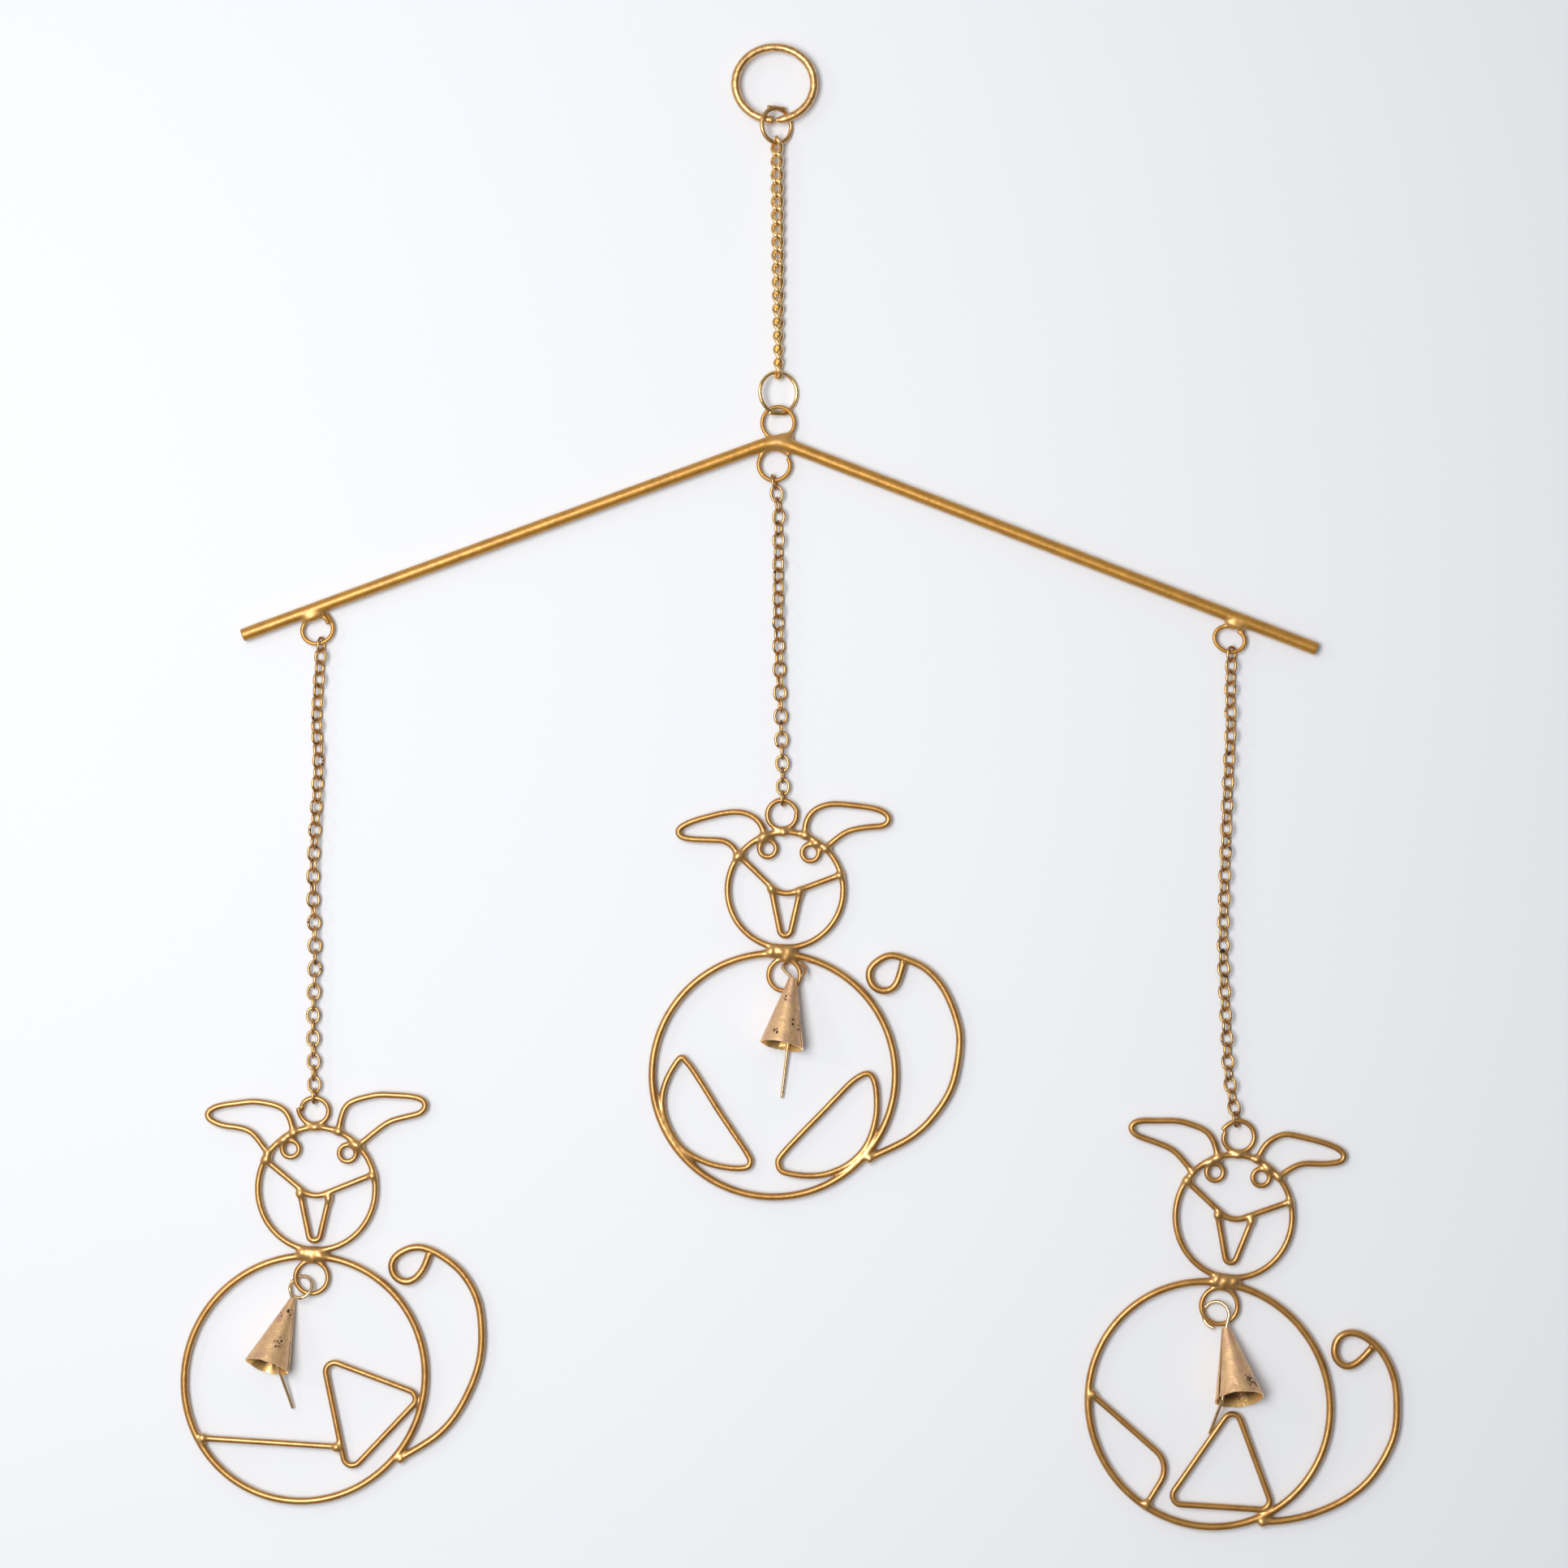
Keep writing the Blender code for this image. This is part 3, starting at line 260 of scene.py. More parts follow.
# Every cat's own bends. A point is an angle and a share of the ring that carries the wire. A
# clapper's two points are shares of the body's reach from the bell's crown, with a depth between.
CATS = {
    "left": {
        "links": 40, "link_inside": 4.205, "first_turn": 64.0, "drift": -75.0, "bar_contact": 18.0,
        "sway": ((0, 0), (0.18, -1.9), (0.27, -1.2), (0.5, -3.2), (0.68, -2.5), (0.82, -3.2), (1, -2.6)),
        "hang": (5.25, 4.9, 0.0), "hang_contact": -1.5, "hang_cut": (172.0, -6.0, 1.5, 0.9),
        "head": (21.7, 22.7, 0.0), "head_under": -88.4, "body": (45.7, 44.2, 60.0), "body_under": -93.6,
        "left_ear": (
            (112, 1), (111, 1.3), (115, 1.5), (125, 1.76), (132, 1.92), (140, 2.15), (145, 2.24),
            (147, 2.16), (146, 1.91), (142, 1.67), (139, 1.42), (144, 1),
        ),
        "right_ear": (
            (69, 1), (71, 1.28), (69, 1.51), (58, 1.82), (51, 2), (43, 2.25), (39, 2.33), (37, 2.29),
            (36, 2.16), (39, 1.9), (43, 1.6), (46, 1),
        ),
        "eyes": (123, 49),
        "muzzle": ((150.4, 0.98), (-119.9, 0.123), (14, 0.98)),
        "nose": ((-165, 0.29), (-92.4, 0.845), (-39, 0.265)),
        "bell_ring": 6.0, "bell_ring_at": 86.0,
        "bent_legs": (((29.5, 0.227), (-9.4, 0.935), (-62.4, 0.809)),),
        "open_legs": (((-150, 0.97), (-64.6, 0.625)),), "open_leg_bend": 3.0, "round_legs": (),
        "tail": (
            (-40, 1.04), (-29, 1.14), (-21, 1.23), (-12, 1.31), (-1, 1.4), (8, 1.47), (17, 1.52),
            (25, 1.555), (33.7, 1.547), (41.7, 1.495), (48.1, 1.429), (51.6, 1.339), (53.6, 1.211),
            (51.4, 1.128), (47.2, 1.103), (43, 1.144), (42, 1.23), (43, 1.33), (45, 1.43),
        ),
        "hanger": (-3.9, -3.5, 0.8, 4.3), "hanger_turn": (206.0, 33.0), "hanger_run": (-116.0, 308.0),
        "bell": (26.6, 16.9), "bell_at": (-131.7, 10.45), "bell_lean": 20.0, "bell_tilt": 14.4,
        "mouth_slant": 9.0, "mouth_skew": -2.4, "crown": 2.1, "seam": 4.0, "seam_gap": -LAP,
        "pits": ((2.4, 0.62, 2.4), (1.6, 0.72, 1.8), (4.6, 0.78, 1.8), (0.4, 0.2, 1.2)),
        "clapper": ((-0.117, -2.0, -0.536), (-0.0044, 2.2, -0.896)),
    },
    "centre": {
        "links": 28, "link_inside": 4.259, "first_turn": 75.0, "drift": -90.0, "bar_contact": -6.0,
        "sway": (
            (0, 0), (0.045, 1.2), (0.1, 2.3), (0.15, 2.2), (0.45, 2.1), (0.76, 3.1), (0.9, 3.7),
            (1, 3.85),
        ),
        "hang": (5.45, 5.35, 0.0), "hang_contact": -4.2, "hang_cut": (4.0, 6.0, 0.3, 0.2),
        "head": (21.4, 21.4, 0.0), "head_under": -87.5, "body": (45.0, 45.0, 0.0), "body_under": -93.6,
        "left_ear": (
            (112, 1), (110, 1.1), (112, 1.32), (118, 1.51), (126, 1.66), (136, 1.83), (145, 2.03),
            (151, 2.13), (153, 2.04), (152, 1.88), (147, 1.59), (141, 1.34), (141, 1.12), (146, 1),
        ),
        "right_ear": (
            (70, 1), (73, 1.23), (70, 1.47), (62, 1.68), (51, 1.88), (42, 2.1), (37, 2.19), (34, 2.17),
            (33, 2.04), (38, 1.75), (43, 1.49), (45, 1.26), (46, 1),
        ),
        "eyes": (113, 56),
        "muzzle": ((143.4, 0.98), (-135.8, 0.072), (15.4, 0.98)),
        "nose": ((173.5, 0.247), (-90, 0.788), (-9, 0.254)),
        "bell_ring": 5.85, "bell_ring_at": 83.9,
        "bent_legs": (), "open_legs": (), "open_leg_bend": 3.0,
        "round_legs": (
            ((170, 0.785), (-177, 0.884), (-166, 0.946), (-154, 0.966), (-141, 0.961), (-128, 0.907),
             (-116, 0.846), (-107, 0.795), (-105, 0.745), (-108, 0.687), (-126, 0.574), (-148, 0.539),
             (-174, 0.599), (172, 0.714)),
            ((1, 0.769), (-4, 0.655), (-19, 0.549), (-37, 0.502), (-67, 0.539), (-85, 0.668), (-87, 0.736),
             (-84, 0.8), (-72, 0.869), (-61, 0.923), (-49, 0.956), (-37, 0.955), (-24, 0.914), (-12, 0.865),
             (-3, 0.826)),
        ),
        "tail": (
            (-41, 1.04), (-34, 1.11), (-25, 1.23), (-16, 1.34), (-4, 1.465), (9, 1.548), (17, 1.572),
            (27, 1.568), (35, 1.527), (41, 1.45), (45.8, 1.379), (47.7, 1.269), (47.6, 1.157),
            (42, 1.094), (37, 1.144), (36, 1.227), (38, 1.309), (41, 1.41),
        ),
        "hanger": (3.5, 1.9, 0.02, 4.3), "hanger_turn": (0.0, -47.0), "hanger_run": (-50.0, 215.0),
        "bell": (25.3, 16.3), "bell_at": (-14.4, 3.13), "bell_lean": 9.4, "bell_tilt": 5.5,
        "mouth_slant": 9.5, "mouth_skew": 2.5, "crown": 2.8, "seam": 0.0, "seam_gap": -LAP,
        "pits": ((-0.8, 0.3, 2.0), (2.6, 0.66, 1.4), (-2.8, 0.85, 1.4)),
        "clapper": ((-0.033, 0.7, -0.507), (-0.089, 3.0, -0.991)),
    },
    "right": {
        "links": 41, "link_inside": 4.231, "first_turn": 45.0, "drift": 12.0, "bar_contact": 10.0,
        "sway": (
            (0, 0), (0.1, -0.6), (0.17, -0.4), (0.3, -1.5), (0.52, -2.8), (0.65, -3.1), (0.8, -1.9),
            (0.9, -0.9), (1, 2.3),
        ),
        "hang": (5.75, 5.75, 0.0), "hang_contact": 3.5, "hang_cut": (159.0, 5.0, -1.2, 0.3),
        "head": (21.6, 22.75, 0.0), "head_under": -93.5, "body": (45.9, 44.2, -55.0), "body_under": -97.5,
        "left_ear": (
            (105, 1), (105, 1.265), (108, 1.47), (115, 1.67), (121, 1.84), (129, 2.045), (135, 2.255),
            (138.5, 2.3), (140, 2.25), (140, 2.1), (137, 1.84), (133, 1.55), (132, 1.33), (133, 1),
        ),
        "right_ear": (
            (68, 1), (66, 1.29), (62, 1.475), (57.5, 1.61), (49, 1.745), (39, 1.96), (32, 2.12),
            (28.5, 2.14), (27, 2.04), (30, 1.77), (37, 1.47), (40, 1.24), (41, 1),
        ),
        "eyes": (113, 55),
        "muzzle": ((142.9, 0.98), (-129.6, 0.051), (14.5, 0.98)),
        "nose": ((174, 0.278), (-94.5, 0.752), (-15, 0.31)),
        "bell_ring": 6.7, "bell_ring_at": 84.0,
        "bent_legs": (((-22.6, 0.213), (-110.5, 0.84), (-60, 0.946)),),
        "open_legs": (((175, 0.97), (-126.5, 0.634), (-122, 0.97)),), "open_leg_bend": 9.0,
        "round_legs": (),
        "tail": (
            (-66, 1.04), (-57, 1.116), (-46, 1.224), (-34, 1.355), (-23, 1.459), (-10, 1.541),
            (1, 1.554), (9, 1.55), (16.9, 1.506), (22.8, 1.431), (26.6, 1.344), (27.5, 1.227),
            (23.6, 1.14), (19, 1.128), (15, 1.19), (16, 1.304), (19, 1.433),
        ),
        "hanger": (-1.23, -3.33, 1.4, 4.9), "hanger_turn": (-107.0, 22.5), "hanger_run": (-102.0, -282.0),
        "bell": (26.3, 18.4), "bell_at": (-74.8, 8.03), "bell_lean": -10.0, "bell_tilt": 10.5,
        "mouth_slant": 16.5, "mouth_skew": 3.9, "crown": 3.0, "seam": -150.0, "seam_gap": 9.0,
        "pits": ((3.6, 0.74, 2.6), (5.4, 0.88, 2.2), (-1.0, 0.5, 1.2)),
        "clapper": ((-0.04, -4.0, -0.583), (-0.124, 2.9, -0.876)),
    },
}


def length(name, description, millimetres):
    """A size that a user may change, in metres."""
    return bpy.props.FloatProperty(name=name, description=description, default=millimetres * MM, min=0.0,
                                   unit="LENGTH", precision=5)


def colour(name, description, red, green, blue):
    """A colour that a user may change."""
    return bpy.props.FloatVectorProperty(name=name, description=description, default=(red, green, blue),
                                         min=0.0, max=1.0, size=3, subtype="COLOR")


def amount(name, description, default):
    """A share from nought to one that a user may change."""
    return bpy.props.FloatProperty(name=name, description=description, default=default, min=0.0, max=1.0,
                                   subtype="FACTOR")


class ChimeWires(bpy.types.PropertyGroup):
    """Gauges of the wires and how their welds are finished."""

    hang: length("Hanging ring", "Gauge of the big ring's wire", 3.15)
    top_jump: length("Top jump ring", "Gauge of the ring above the twisted chain", 1.65)
    low_jump: length("Lower jump ring", "Gauge of the ring below the twisted chain", 1.5)
    curb: length("Twisted chain", "Gauge that spaces the twisted chain's links, which are drawn thicker", 1.38)
    rod: length("Rod", "Thickness of the crossbar's rod", 4.8)
    crown_ring: length("Crown ring", "Gauge of the ring on top of the crossbar", 1.5)
    foot_ring: length("Foot ring", "Gauge of the ring under the crossbar's middle", 1.6)
    end_ring: length("End rings", "Gauge of the rings under the crossbar's arms", 1.55)
    link: length("Cable chain", "Gauge of the cable chains' links", 1.1)
    body: length("Body", "Gauge of a cat's body ring and tail", 2.8)
    face: length("Face", "Gauge of a cat's head, ears, muzzle, nose and legs", 2.35)
    eye: length("Eyes", "Gauge of a cat's eyes", 2.0)
    loop: length("Loops", "Gauge of a cat's hanging ring and bell ring", 1.9)
    hanger: length("Bell wire", "Gauge of the wire that holds a bell", 1.35)
    clapper: length("Clapper", "Gauge of a bell's striker", 1.25)
    sheet: length("Bell sheet", "Thickness of the bells' sheet", 0.6)
    melt: length("Weld melt", "How far welded wires flow into each other", 0.42)
    grain: length("Weld grain", "Spacing of the net that joins welded wires", 0.4)


class ChimeFinishes(bpy.types.PropertyGroup):
    """Colours of the metals and of the stage."""

    plate: colour("Gold plate", "Plated hanging ring and top jump ring", 0.80, 0.47, 0.18)
    polished: colour("Polished plate", "Plated twisted chain and lower jump ring", 0.98, 0.64, 0.26)
    paint: colour("Gold paint", "Painted cats", 0.54, 0.28, 0.067)
    paint_deep: colour("Deep paint", "The cats' paint where it lies thicker", 0.42, 0.195, 0.037)
    bar: colour("Bar paint", "Painted crossbar", 0.57, 0.275, 0.036)
    # The weld colour is a painted highlight: weld lumps are tinted paler than the paint
    weld_sheen: colour("Weld dabs", "Paint on the lumps of the welds", 0.74, 0.45, 0.18)
    bronze: colour("Chain bronze", "Cable chains", 0.70, 0.385, 0.125)
    brass: colour("Bell brass", "Sheet of the bells", 0.82, 0.55, 0.27)
    blush: colour("Bell blush", "Pinkish patches on the bells", 0.66, 0.39, 0.25)
    # The inside colour is the bells' own brighter inner metal, raised further as a painted reflection
    inside: colour("Bell inside", "Brighter inner side of the bells", 1.0, 0.62, 0.22)
    # The hollow colour is painted shade on the bells' inner side far from the mouth
    hollow_shade: colour("Bell hollow", "The bells' inner side far from the mouth", 0.16, 0.065, 0.015)
    soot: colour("Bell pits", "Dark pits in the bells and grime in the chains", 0.075, 0.038, 0.026)
    pale: colour("Pale brass", "Bell wires and clappers", 0.92, 0.66, 0.36)
    paper: colour("Backdrop", "The pale board behind the chime", 0.865, 0.89, 0.945)
    room_dark: colour("Dark side of the room", "Mirrored on the lower right", 0.06, 0.058, 0.055)
    room_bright: colour("Bright side of the room", "Mirrored on the upper left", 0.43, 0.43, 0.43)
    gloss: amount("Weld gloss", "How much smoother the welds are than the wires", 0.05)


def mm(size):
    """A size in metres as millimetres."""
    return size / MM


def polar(centre, angle, reach):
    """The points at these angles and distances from a centre, in the plane of the chime."""
    turn = np.radians(np.asarray(angle, float))
    across = np.stack((np.cos(turn), np.sin(turn)), axis=-1)
    return np.asarray(centre, float) + np.asarray(reach, float)[..., None] * across


def oval_reach(oval, angle):
    """How far an oval of half width, half height and lean reaches at these angles."""
    along, across, lean = oval
    turn = np.radians(np.asarray(angle, float) - lean)
    return along * across / np.hypot(across * np.cos(turn), along * np.sin(turn))


def oval_path(centre, oval, start=0.0, sweep=360.0, count=96):
    """Points round an oval, the whole of it or a part."""
    angles = start + sweep * np.linspace(0.0, 1.0, count, endpoint=abs(sweep) < 360.0)
    return polar(centre, angles, oval_reach(oval, angles))


def cut_ring(centre, oval, depth, at, gap, out, apart):
    """A ring cut at an angle: its first end goes out and forward, and its last end in and back."""
    share = np.linspace(0.0, 1.0, 140)
    angles = at + 0.5 * gap + (360.0 - gap) * share
    first, last = (np.clip(1.0 - away / CUT_EASE, 0.0, 1.0) ** 2 for away in (share, 1.0 - share))
    path = stood(polar(centre, angles, oval_reach(oval, angles) + 0.5 * out * (first - last)), depth)
    path[:, 1] -= 0.5 * apart * (first - last)
    return even(path, RING_STEP)


def on_ring(centre, oval, marks):
    """Points given by an angle and a share of an oval's reach there."""
    angle, share = np.array(marks, float).T
    return polar(centre, angle, share * oval_reach(oval, angle))


def smooth(points, closed=False, steps=16):
    """Catmull-Rom runs: a cubic whose slope at each point is half the step between its neighbours."""
    points = np.asarray(points, float)
    if closed:
        held = np.concatenate((points[-1:], points, points[:2]))
    else:
        held = np.concatenate((2 * points[:1] - points[1:2], points, 2 * points[-1:] - points[-2:-1]))
    t = np.linspace(0.0, 1.0, steps, endpoint=False)[None, :, None]
    a, b, c, d = (held[i:len(held) - 3 + i, None] for i in range(4))
    runs = 0.5 * (2 * b + (c - a) * t + (2 * a - 5 * b + 4 * c - d) * t**2 + (3 * b - a - 3 * c + d) * t**3)
    path = runs.reshape(-1, points.shape[1])
    return path if closed else np.concatenate((path, points[-1:]))


def bent(points, radius, closed=False, steps=12):
    """Straight runs with arcs of the radius, each of which reaches out to its point."""
    reached = np.asarray(points, float)
    corners = reached.copy()
    inner = range(len(corners)) if closed else range(1, len(corners) - 1)

    def corner_at(i):
        before = corners[i - 1] - corners[i]
        after = corners[(i + 1) % len(corners)] - corners[i]
        lengths = np.linalg.norm(before), np.linalg.norm(after)
        before, after = before / lengths[0], after / lengths[1]
        half = 0.5 * math.acos(float(np.clip(before @ after, -1.0, 1.0)))
        tangent = min(radius / math.tan(half), 0.5 * min(lengths))
        return before, after, half, tangent, (before + after) / np.linalg.norm(before + after)

    # A corner lies outside its arc, so it is moved out until the arc touches the point
    for _ in range(12):
        pushed = corners.copy()
        for i in inner:
            _, _, half, tangent, inward = corner_at(i)
            arc_radius = tangent * math.tan(half)
            pushed[i] = reached[i] - inward * arc_radius * (1.0 / math.sin(half) - 1.0)
        corners = pushed
    path = [] if closed else [corners[:1]]
    for i in inner:
        before, after, half, tangent, inward = corner_at(i)
        centre = corners[i] + inward * tangent / math.cos(half)
        first = corners[i] + before * tangent - centre
        second = corners[i] + after * tangent - centre
        arc = math.pi - 2 * half
        share = np.linspace(0.0, 1.0, steps)[:, None]
        way = np.sin((1 - share) * arc) * first + np.sin(share * arc) * second
        path.append(centre + way / math.sin(arc))
    if not closed:
        path.append(corners[-1:])
    return np.concatenate(path)


def lengths_along(path):
    """How far along the path each of its points is."""
    return np.concatenate(((0.0,), np.cumsum(np.linalg.norm(np.diff(path, axis=0), axis=1))))


def places_at(path, along, at):
    """The places at these lengths along a path."""
    return np.stack([np.interp(at, along, column) for column in path.T], axis=-1)


def even(path, step, closed=False):
    """The same path with its points about a step apart."""
    run = np.concatenate((path, path[:1])) if closed else path
    along = lengths_along(run)
    count = max(int(round(along[-1] / step)), 4)
    at = np.linspace(0.0, along[-1], count + (0 if closed else 1), endpoint=not closed)
    return places_at(run, along, at)


def eased(path, rounds):
    """The path rounded: each point goes halfway to the middle of its neighbours, this many times."""
    path = path.copy()
    for _ in range(rounds):
        path[1:-1] = 0.5 * path[1:-1] + 0.25 * (path[:-2] + path[2:])
    return path


def stood(path, depth=0.0, centre=(0.0, 0.0), axis=None, turn=0.0):
    """A flat path stood up at a depth, and turned about an axis that runs through its centre."""
    flat = np.asarray(path, float) - centre
    made = np.stack((flat[:, 0], np.zeros(len(flat)), flat[:, 1]), axis=1)
    if axis is not None:
        lie = math.radians(axis)
        spin = Matrix.Rotation(math.radians(turn), 3, Vector((math.cos(lie), 0.0, math.sin(lie))))
        made = made @ np.array(spin).T
    return made + np.array((centre[0], depth, centre[1]))


def ramp(value, start, width):
    """From nought at the start to one a width further on."""
    return np.clip((value - start) / width, 0.0, 1.0)


def ripple(points, wave, seed):
    """Slow unevenness from about -1 to 1: the mean of seven sines that run all ways, a wave apart."""
    random = np.random.default_rng(seed)
    ways = random.normal(size=(7, 3))
    ways *= 2.0 * math.pi / wave * random.uniform(0.6, 1.5, (7, 1)) / np.linalg.norm(ways, axis=1)[:, None]
    return np.sin(points @ ways.T + random.uniform(0.0, 2.0 * math.pi, 7)).mean(axis=1) * 1.8


def carried_axes(path, closed):
    """At each point of a path, the way along it and two ways across that turn no more than it does."""
    if closed:
        along = np.roll(path, -1, axis=0) - np.roll(path, 1, axis=0)
    else:
        along = np.gradient(path, axis=0)
    along = along / np.linalg.norm(along, axis=1)[:, None]
    across = np.empty_like(along)
    held = np.eye(3)[np.argmin(np.abs(along[0]))]
    for i, way in enumerate(along):
        held = held - way * (held @ way)
        held = held / np.linalg.norm(held)
        across[i] = held
    return along, across, np.cross(along, across)


def wire_skin(path, gauge, closed=False, sides=16):
    """Round wire: half the gauge out from each point of the path, at even angles across it.

    An open end is cut, with its rim a little rounded.
    """
    along, across, over = carried_axes(path, closed)
    turn = np.linspace(0.0, 2.0 * math.pi, sides, endpoint=False)[None, :, None]
    radius = np.ones((len(path), sides)) * 0.5 * np.reshape(gauge, (-1, 1))
    ring = np.cos(turn) * across[:, None] + np.sin(turn) * over[:, None]
    skin = path[:, None] + radius[..., None] * ring
    if closed:
        return skin
    rim = RIM_RISE * radius.mean(axis=1)
    first, last = (path[i] + way * rim[i] * along[i] + RIM_WIDTH * radius[i, :, None] * ring[i]
                   for i, way in ((0, -1.0), (-1, 1.0)))
    return np.concatenate((first[None], skin, last[None]))


def ball_skin(centre, size, lean=0.0, sides=20):
    """Low ball: its half sizes times the sines and cosines of a latitude and a longitude, then leant."""
    high = np.linspace(-0.5 * math.pi, 0.5 * math.pi, sides)[1:-1, None]
    round_ = np.linspace(0.0, 2.0 * math.pi, sides, endpoint=False)[None]
    x = 0.5 * size[0] * np.sin(high) * np.ones_like(round_)
    y = 0.5 * size[1] * np.cos(high) * np.cos(round_)
    z = 0.5 * size[2] * np.cos(high) * np.sin(round_)
    c, s = math.cos(math.radians(lean)), math.sin(math.radians(lean))
    return np.stack((x * c - z * s, y, x * s + z * c), axis=-1) + np.asarray(centre, float)


def net(skin, closed=False):
    """Vertices and faces of a skin: a four-sided face between neighbours, and a fan over each open end."""
    rows, columns = skin.shape[:2]
    index = np.arange(rows * columns).reshape(rows, columns)
    low = index if closed else index[:-1]
    high = np.roll(index, -1, axis=0) if closed else index[1:]
    corners = (low, np.roll(low, -1, axis=1), np.roll(high, -1, axis=1), high)
    faces = np.stack(corners, axis=-1).reshape(-1, 4).tolist()
    points = skin.reshape(-1, 3)
    if not closed:
        middles = skin[[0, -1]].mean(axis=1)
        first, last = index[0], index[-1]
        poles = np.full(columns, len(points))
        faces += np.stack((np.roll(first, -1), first, poles), axis=-1).tolist()
        faces += np.stack((last, np.roll(last, -1), poles + 1), axis=-1).tolist()
        points = np.concatenate((points, middles))
    return points, faces


def joined(nets):
    """Several nets as one list of vertices and faces."""
    points, faces, start = [], [], 0
    for some_points, some_faces in nets:
        points.append(some_points)
        faces += [[corner + start for corner in face] for face in some_faces]
        start += len(some_points)
    return np.concatenate(points), faces


def read(items, key, width, kind=np.int32):
    """A value of every vertex, edge or triangle, as rows of this width."""
    values = np.empty(width * len(items), kind)
    items.foreach_get(key, values)
    return values.reshape(-1, width)


def carry(mesh, key, values):
    """Give the points of a mesh a value that its material reads."""
    values = np.asarray(values, np.float32)
    mesh.attributes.new(key, "FLOAT", "POINT").data.foreach_set("value", values)


def mesh_of(points, faces):
    """A Blender mesh of points in millimetres, with its faces turned outwards."""
    mesh = bpy.data.meshes.new("skin")
    mesh.from_pydata((np.asarray(points) * MM).tolist(), [], faces)
    mesh.calc_loop_triangles()
    centred = np.asarray(points) - np.mean(points, axis=0)
    a, b, c = (centred[corner] for corner in read(mesh.loop_triangles, "vertices", 3).T)
    if (a * np.cross(b, c)).sum() < 0.0:
        mesh.flip_normals()
    return mesh


def placed(name, data):
    """Put a mesh, lamp or camera in the scene as an object."""
    made = bpy.data.objects.new(name, data)
    bpy.context.scene.collection.objects.link(made)
    return made


def settled(thing):
    """Replace an object by the mesh that its modifiers make."""
    graph = bpy.context.evaluated_depsgraph_get()
    mesh = bpy.data.meshes.new_from_object(thing.evaluated_get(graph))
    old = thing.data
    bpy.data.objects.remove(thing, do_unlink=True)
    bpy.data.meshes.remove(old)
    return mesh


def wire_gap(points, path, radius, closed):
    """How far points stand from a wire's skin, and the way out from the nearest place on its path."""
    run = np.concatenate((path, path[:1])) if closed else path
    thick = np.concatenate((radius, radius[:1])) if closed else radius
    near = np.argmin((run**2).sum(axis=1) - 2.0 * points @ run.T, axis=1)
    best = np.full(len(points), 1e9)
    out = np.zeros_like(points)
    for first in (near - 1, near):
        i = first % (len(run) - 1) if closed else np.clip(first, 0, len(run) - 2)
        a, step = run[i], run[i + 1] - run[i]
        share = np.clip(((points - a) * step).sum(axis=1) / (step**2).sum(axis=1), 0.0, 1.0)
        offset = points - a - step * share[:, None]
        away = np.linalg.norm(offset, axis=1) + 1e-9
        gap = away - (thick[i] + (thick[i + 1] - thick[i]) * share)
        closer = gap < best
        best[closer] = gap[closer]
        out[closer] = (offset / away[:, None])[closer]
    return best, out


def ball_gap(points, centre, size, lean):
    """How far points stand from a low ball's skin, nearly, and the way out."""
    c, s = math.cos(math.radians(lean)), math.sin(math.radians(lean))
    turned = np.array(((c, 0.0, s), (0.0, 1.0, 0.0), (-s, 0.0, c)))
    half = 0.5 * np.asarray(size, float)
    at = (points - centre) @ turned.T / half
    reach = np.linalg.norm(at, axis=1) + 1e-9
    slope = at / half
    steep = np.linalg.norm(slope, axis=1) + 1e-9
    return reach * (reach - 1.0) / steep, slope @ turned / steep[:, None]


def melted(points, wires, beads, melt):
    """Height of points over the skin that melts wires and beads together, its slope, and how many meet.

    The height is minus the melt times the logarithm of the sum of exp(-gap / melt) over the pieces.
    How many meet is that sum squared over the sum of the squares.
    """
    shares = np.full(len(points), 1e-12)
    squares = np.full(len(points), 1e-24)
    pull = np.zeros_like(points)
    pieces = [(path.min(axis=0), path.max(axis=0), radius.max(), wire_gap, (path, radius, closed))
              for path, radius, closed in wires]
    pieces += [(np.asarray(bead[0]), np.asarray(bead[0]), 0.5 * max(bead[1]), ball_gap, bead)
               for bead in beads]
    for low, high, thick, gap_from, shape in pieces:
        reach = thick + MELT_REACH * melt
        near = np.all((points > low - reach) & (points < high + reach), axis=1).nonzero()[0]
        gap, out = gap_from(points[near], *shape)
        share = np.exp(-gap / melt)
        shares[near] += share
        squares[near] += share**2
        pull[near] += share[:, None] * out
    return -melt * np.log(shares), pull / shares[:, None], shares**2 / squares


def relaxed(points, edges, count):
    """Each point halfway to the middle of its neighbours."""
    total = np.zeros_like(points)
    for i, j in ((0, 1), (1, 0)):
        for axis in range(3):
            total[:, axis] += np.bincount(edges[:, i], points[edges[:, j], axis], len(points))
    return 0.5 * points + 0.5 * total / count[:, None]


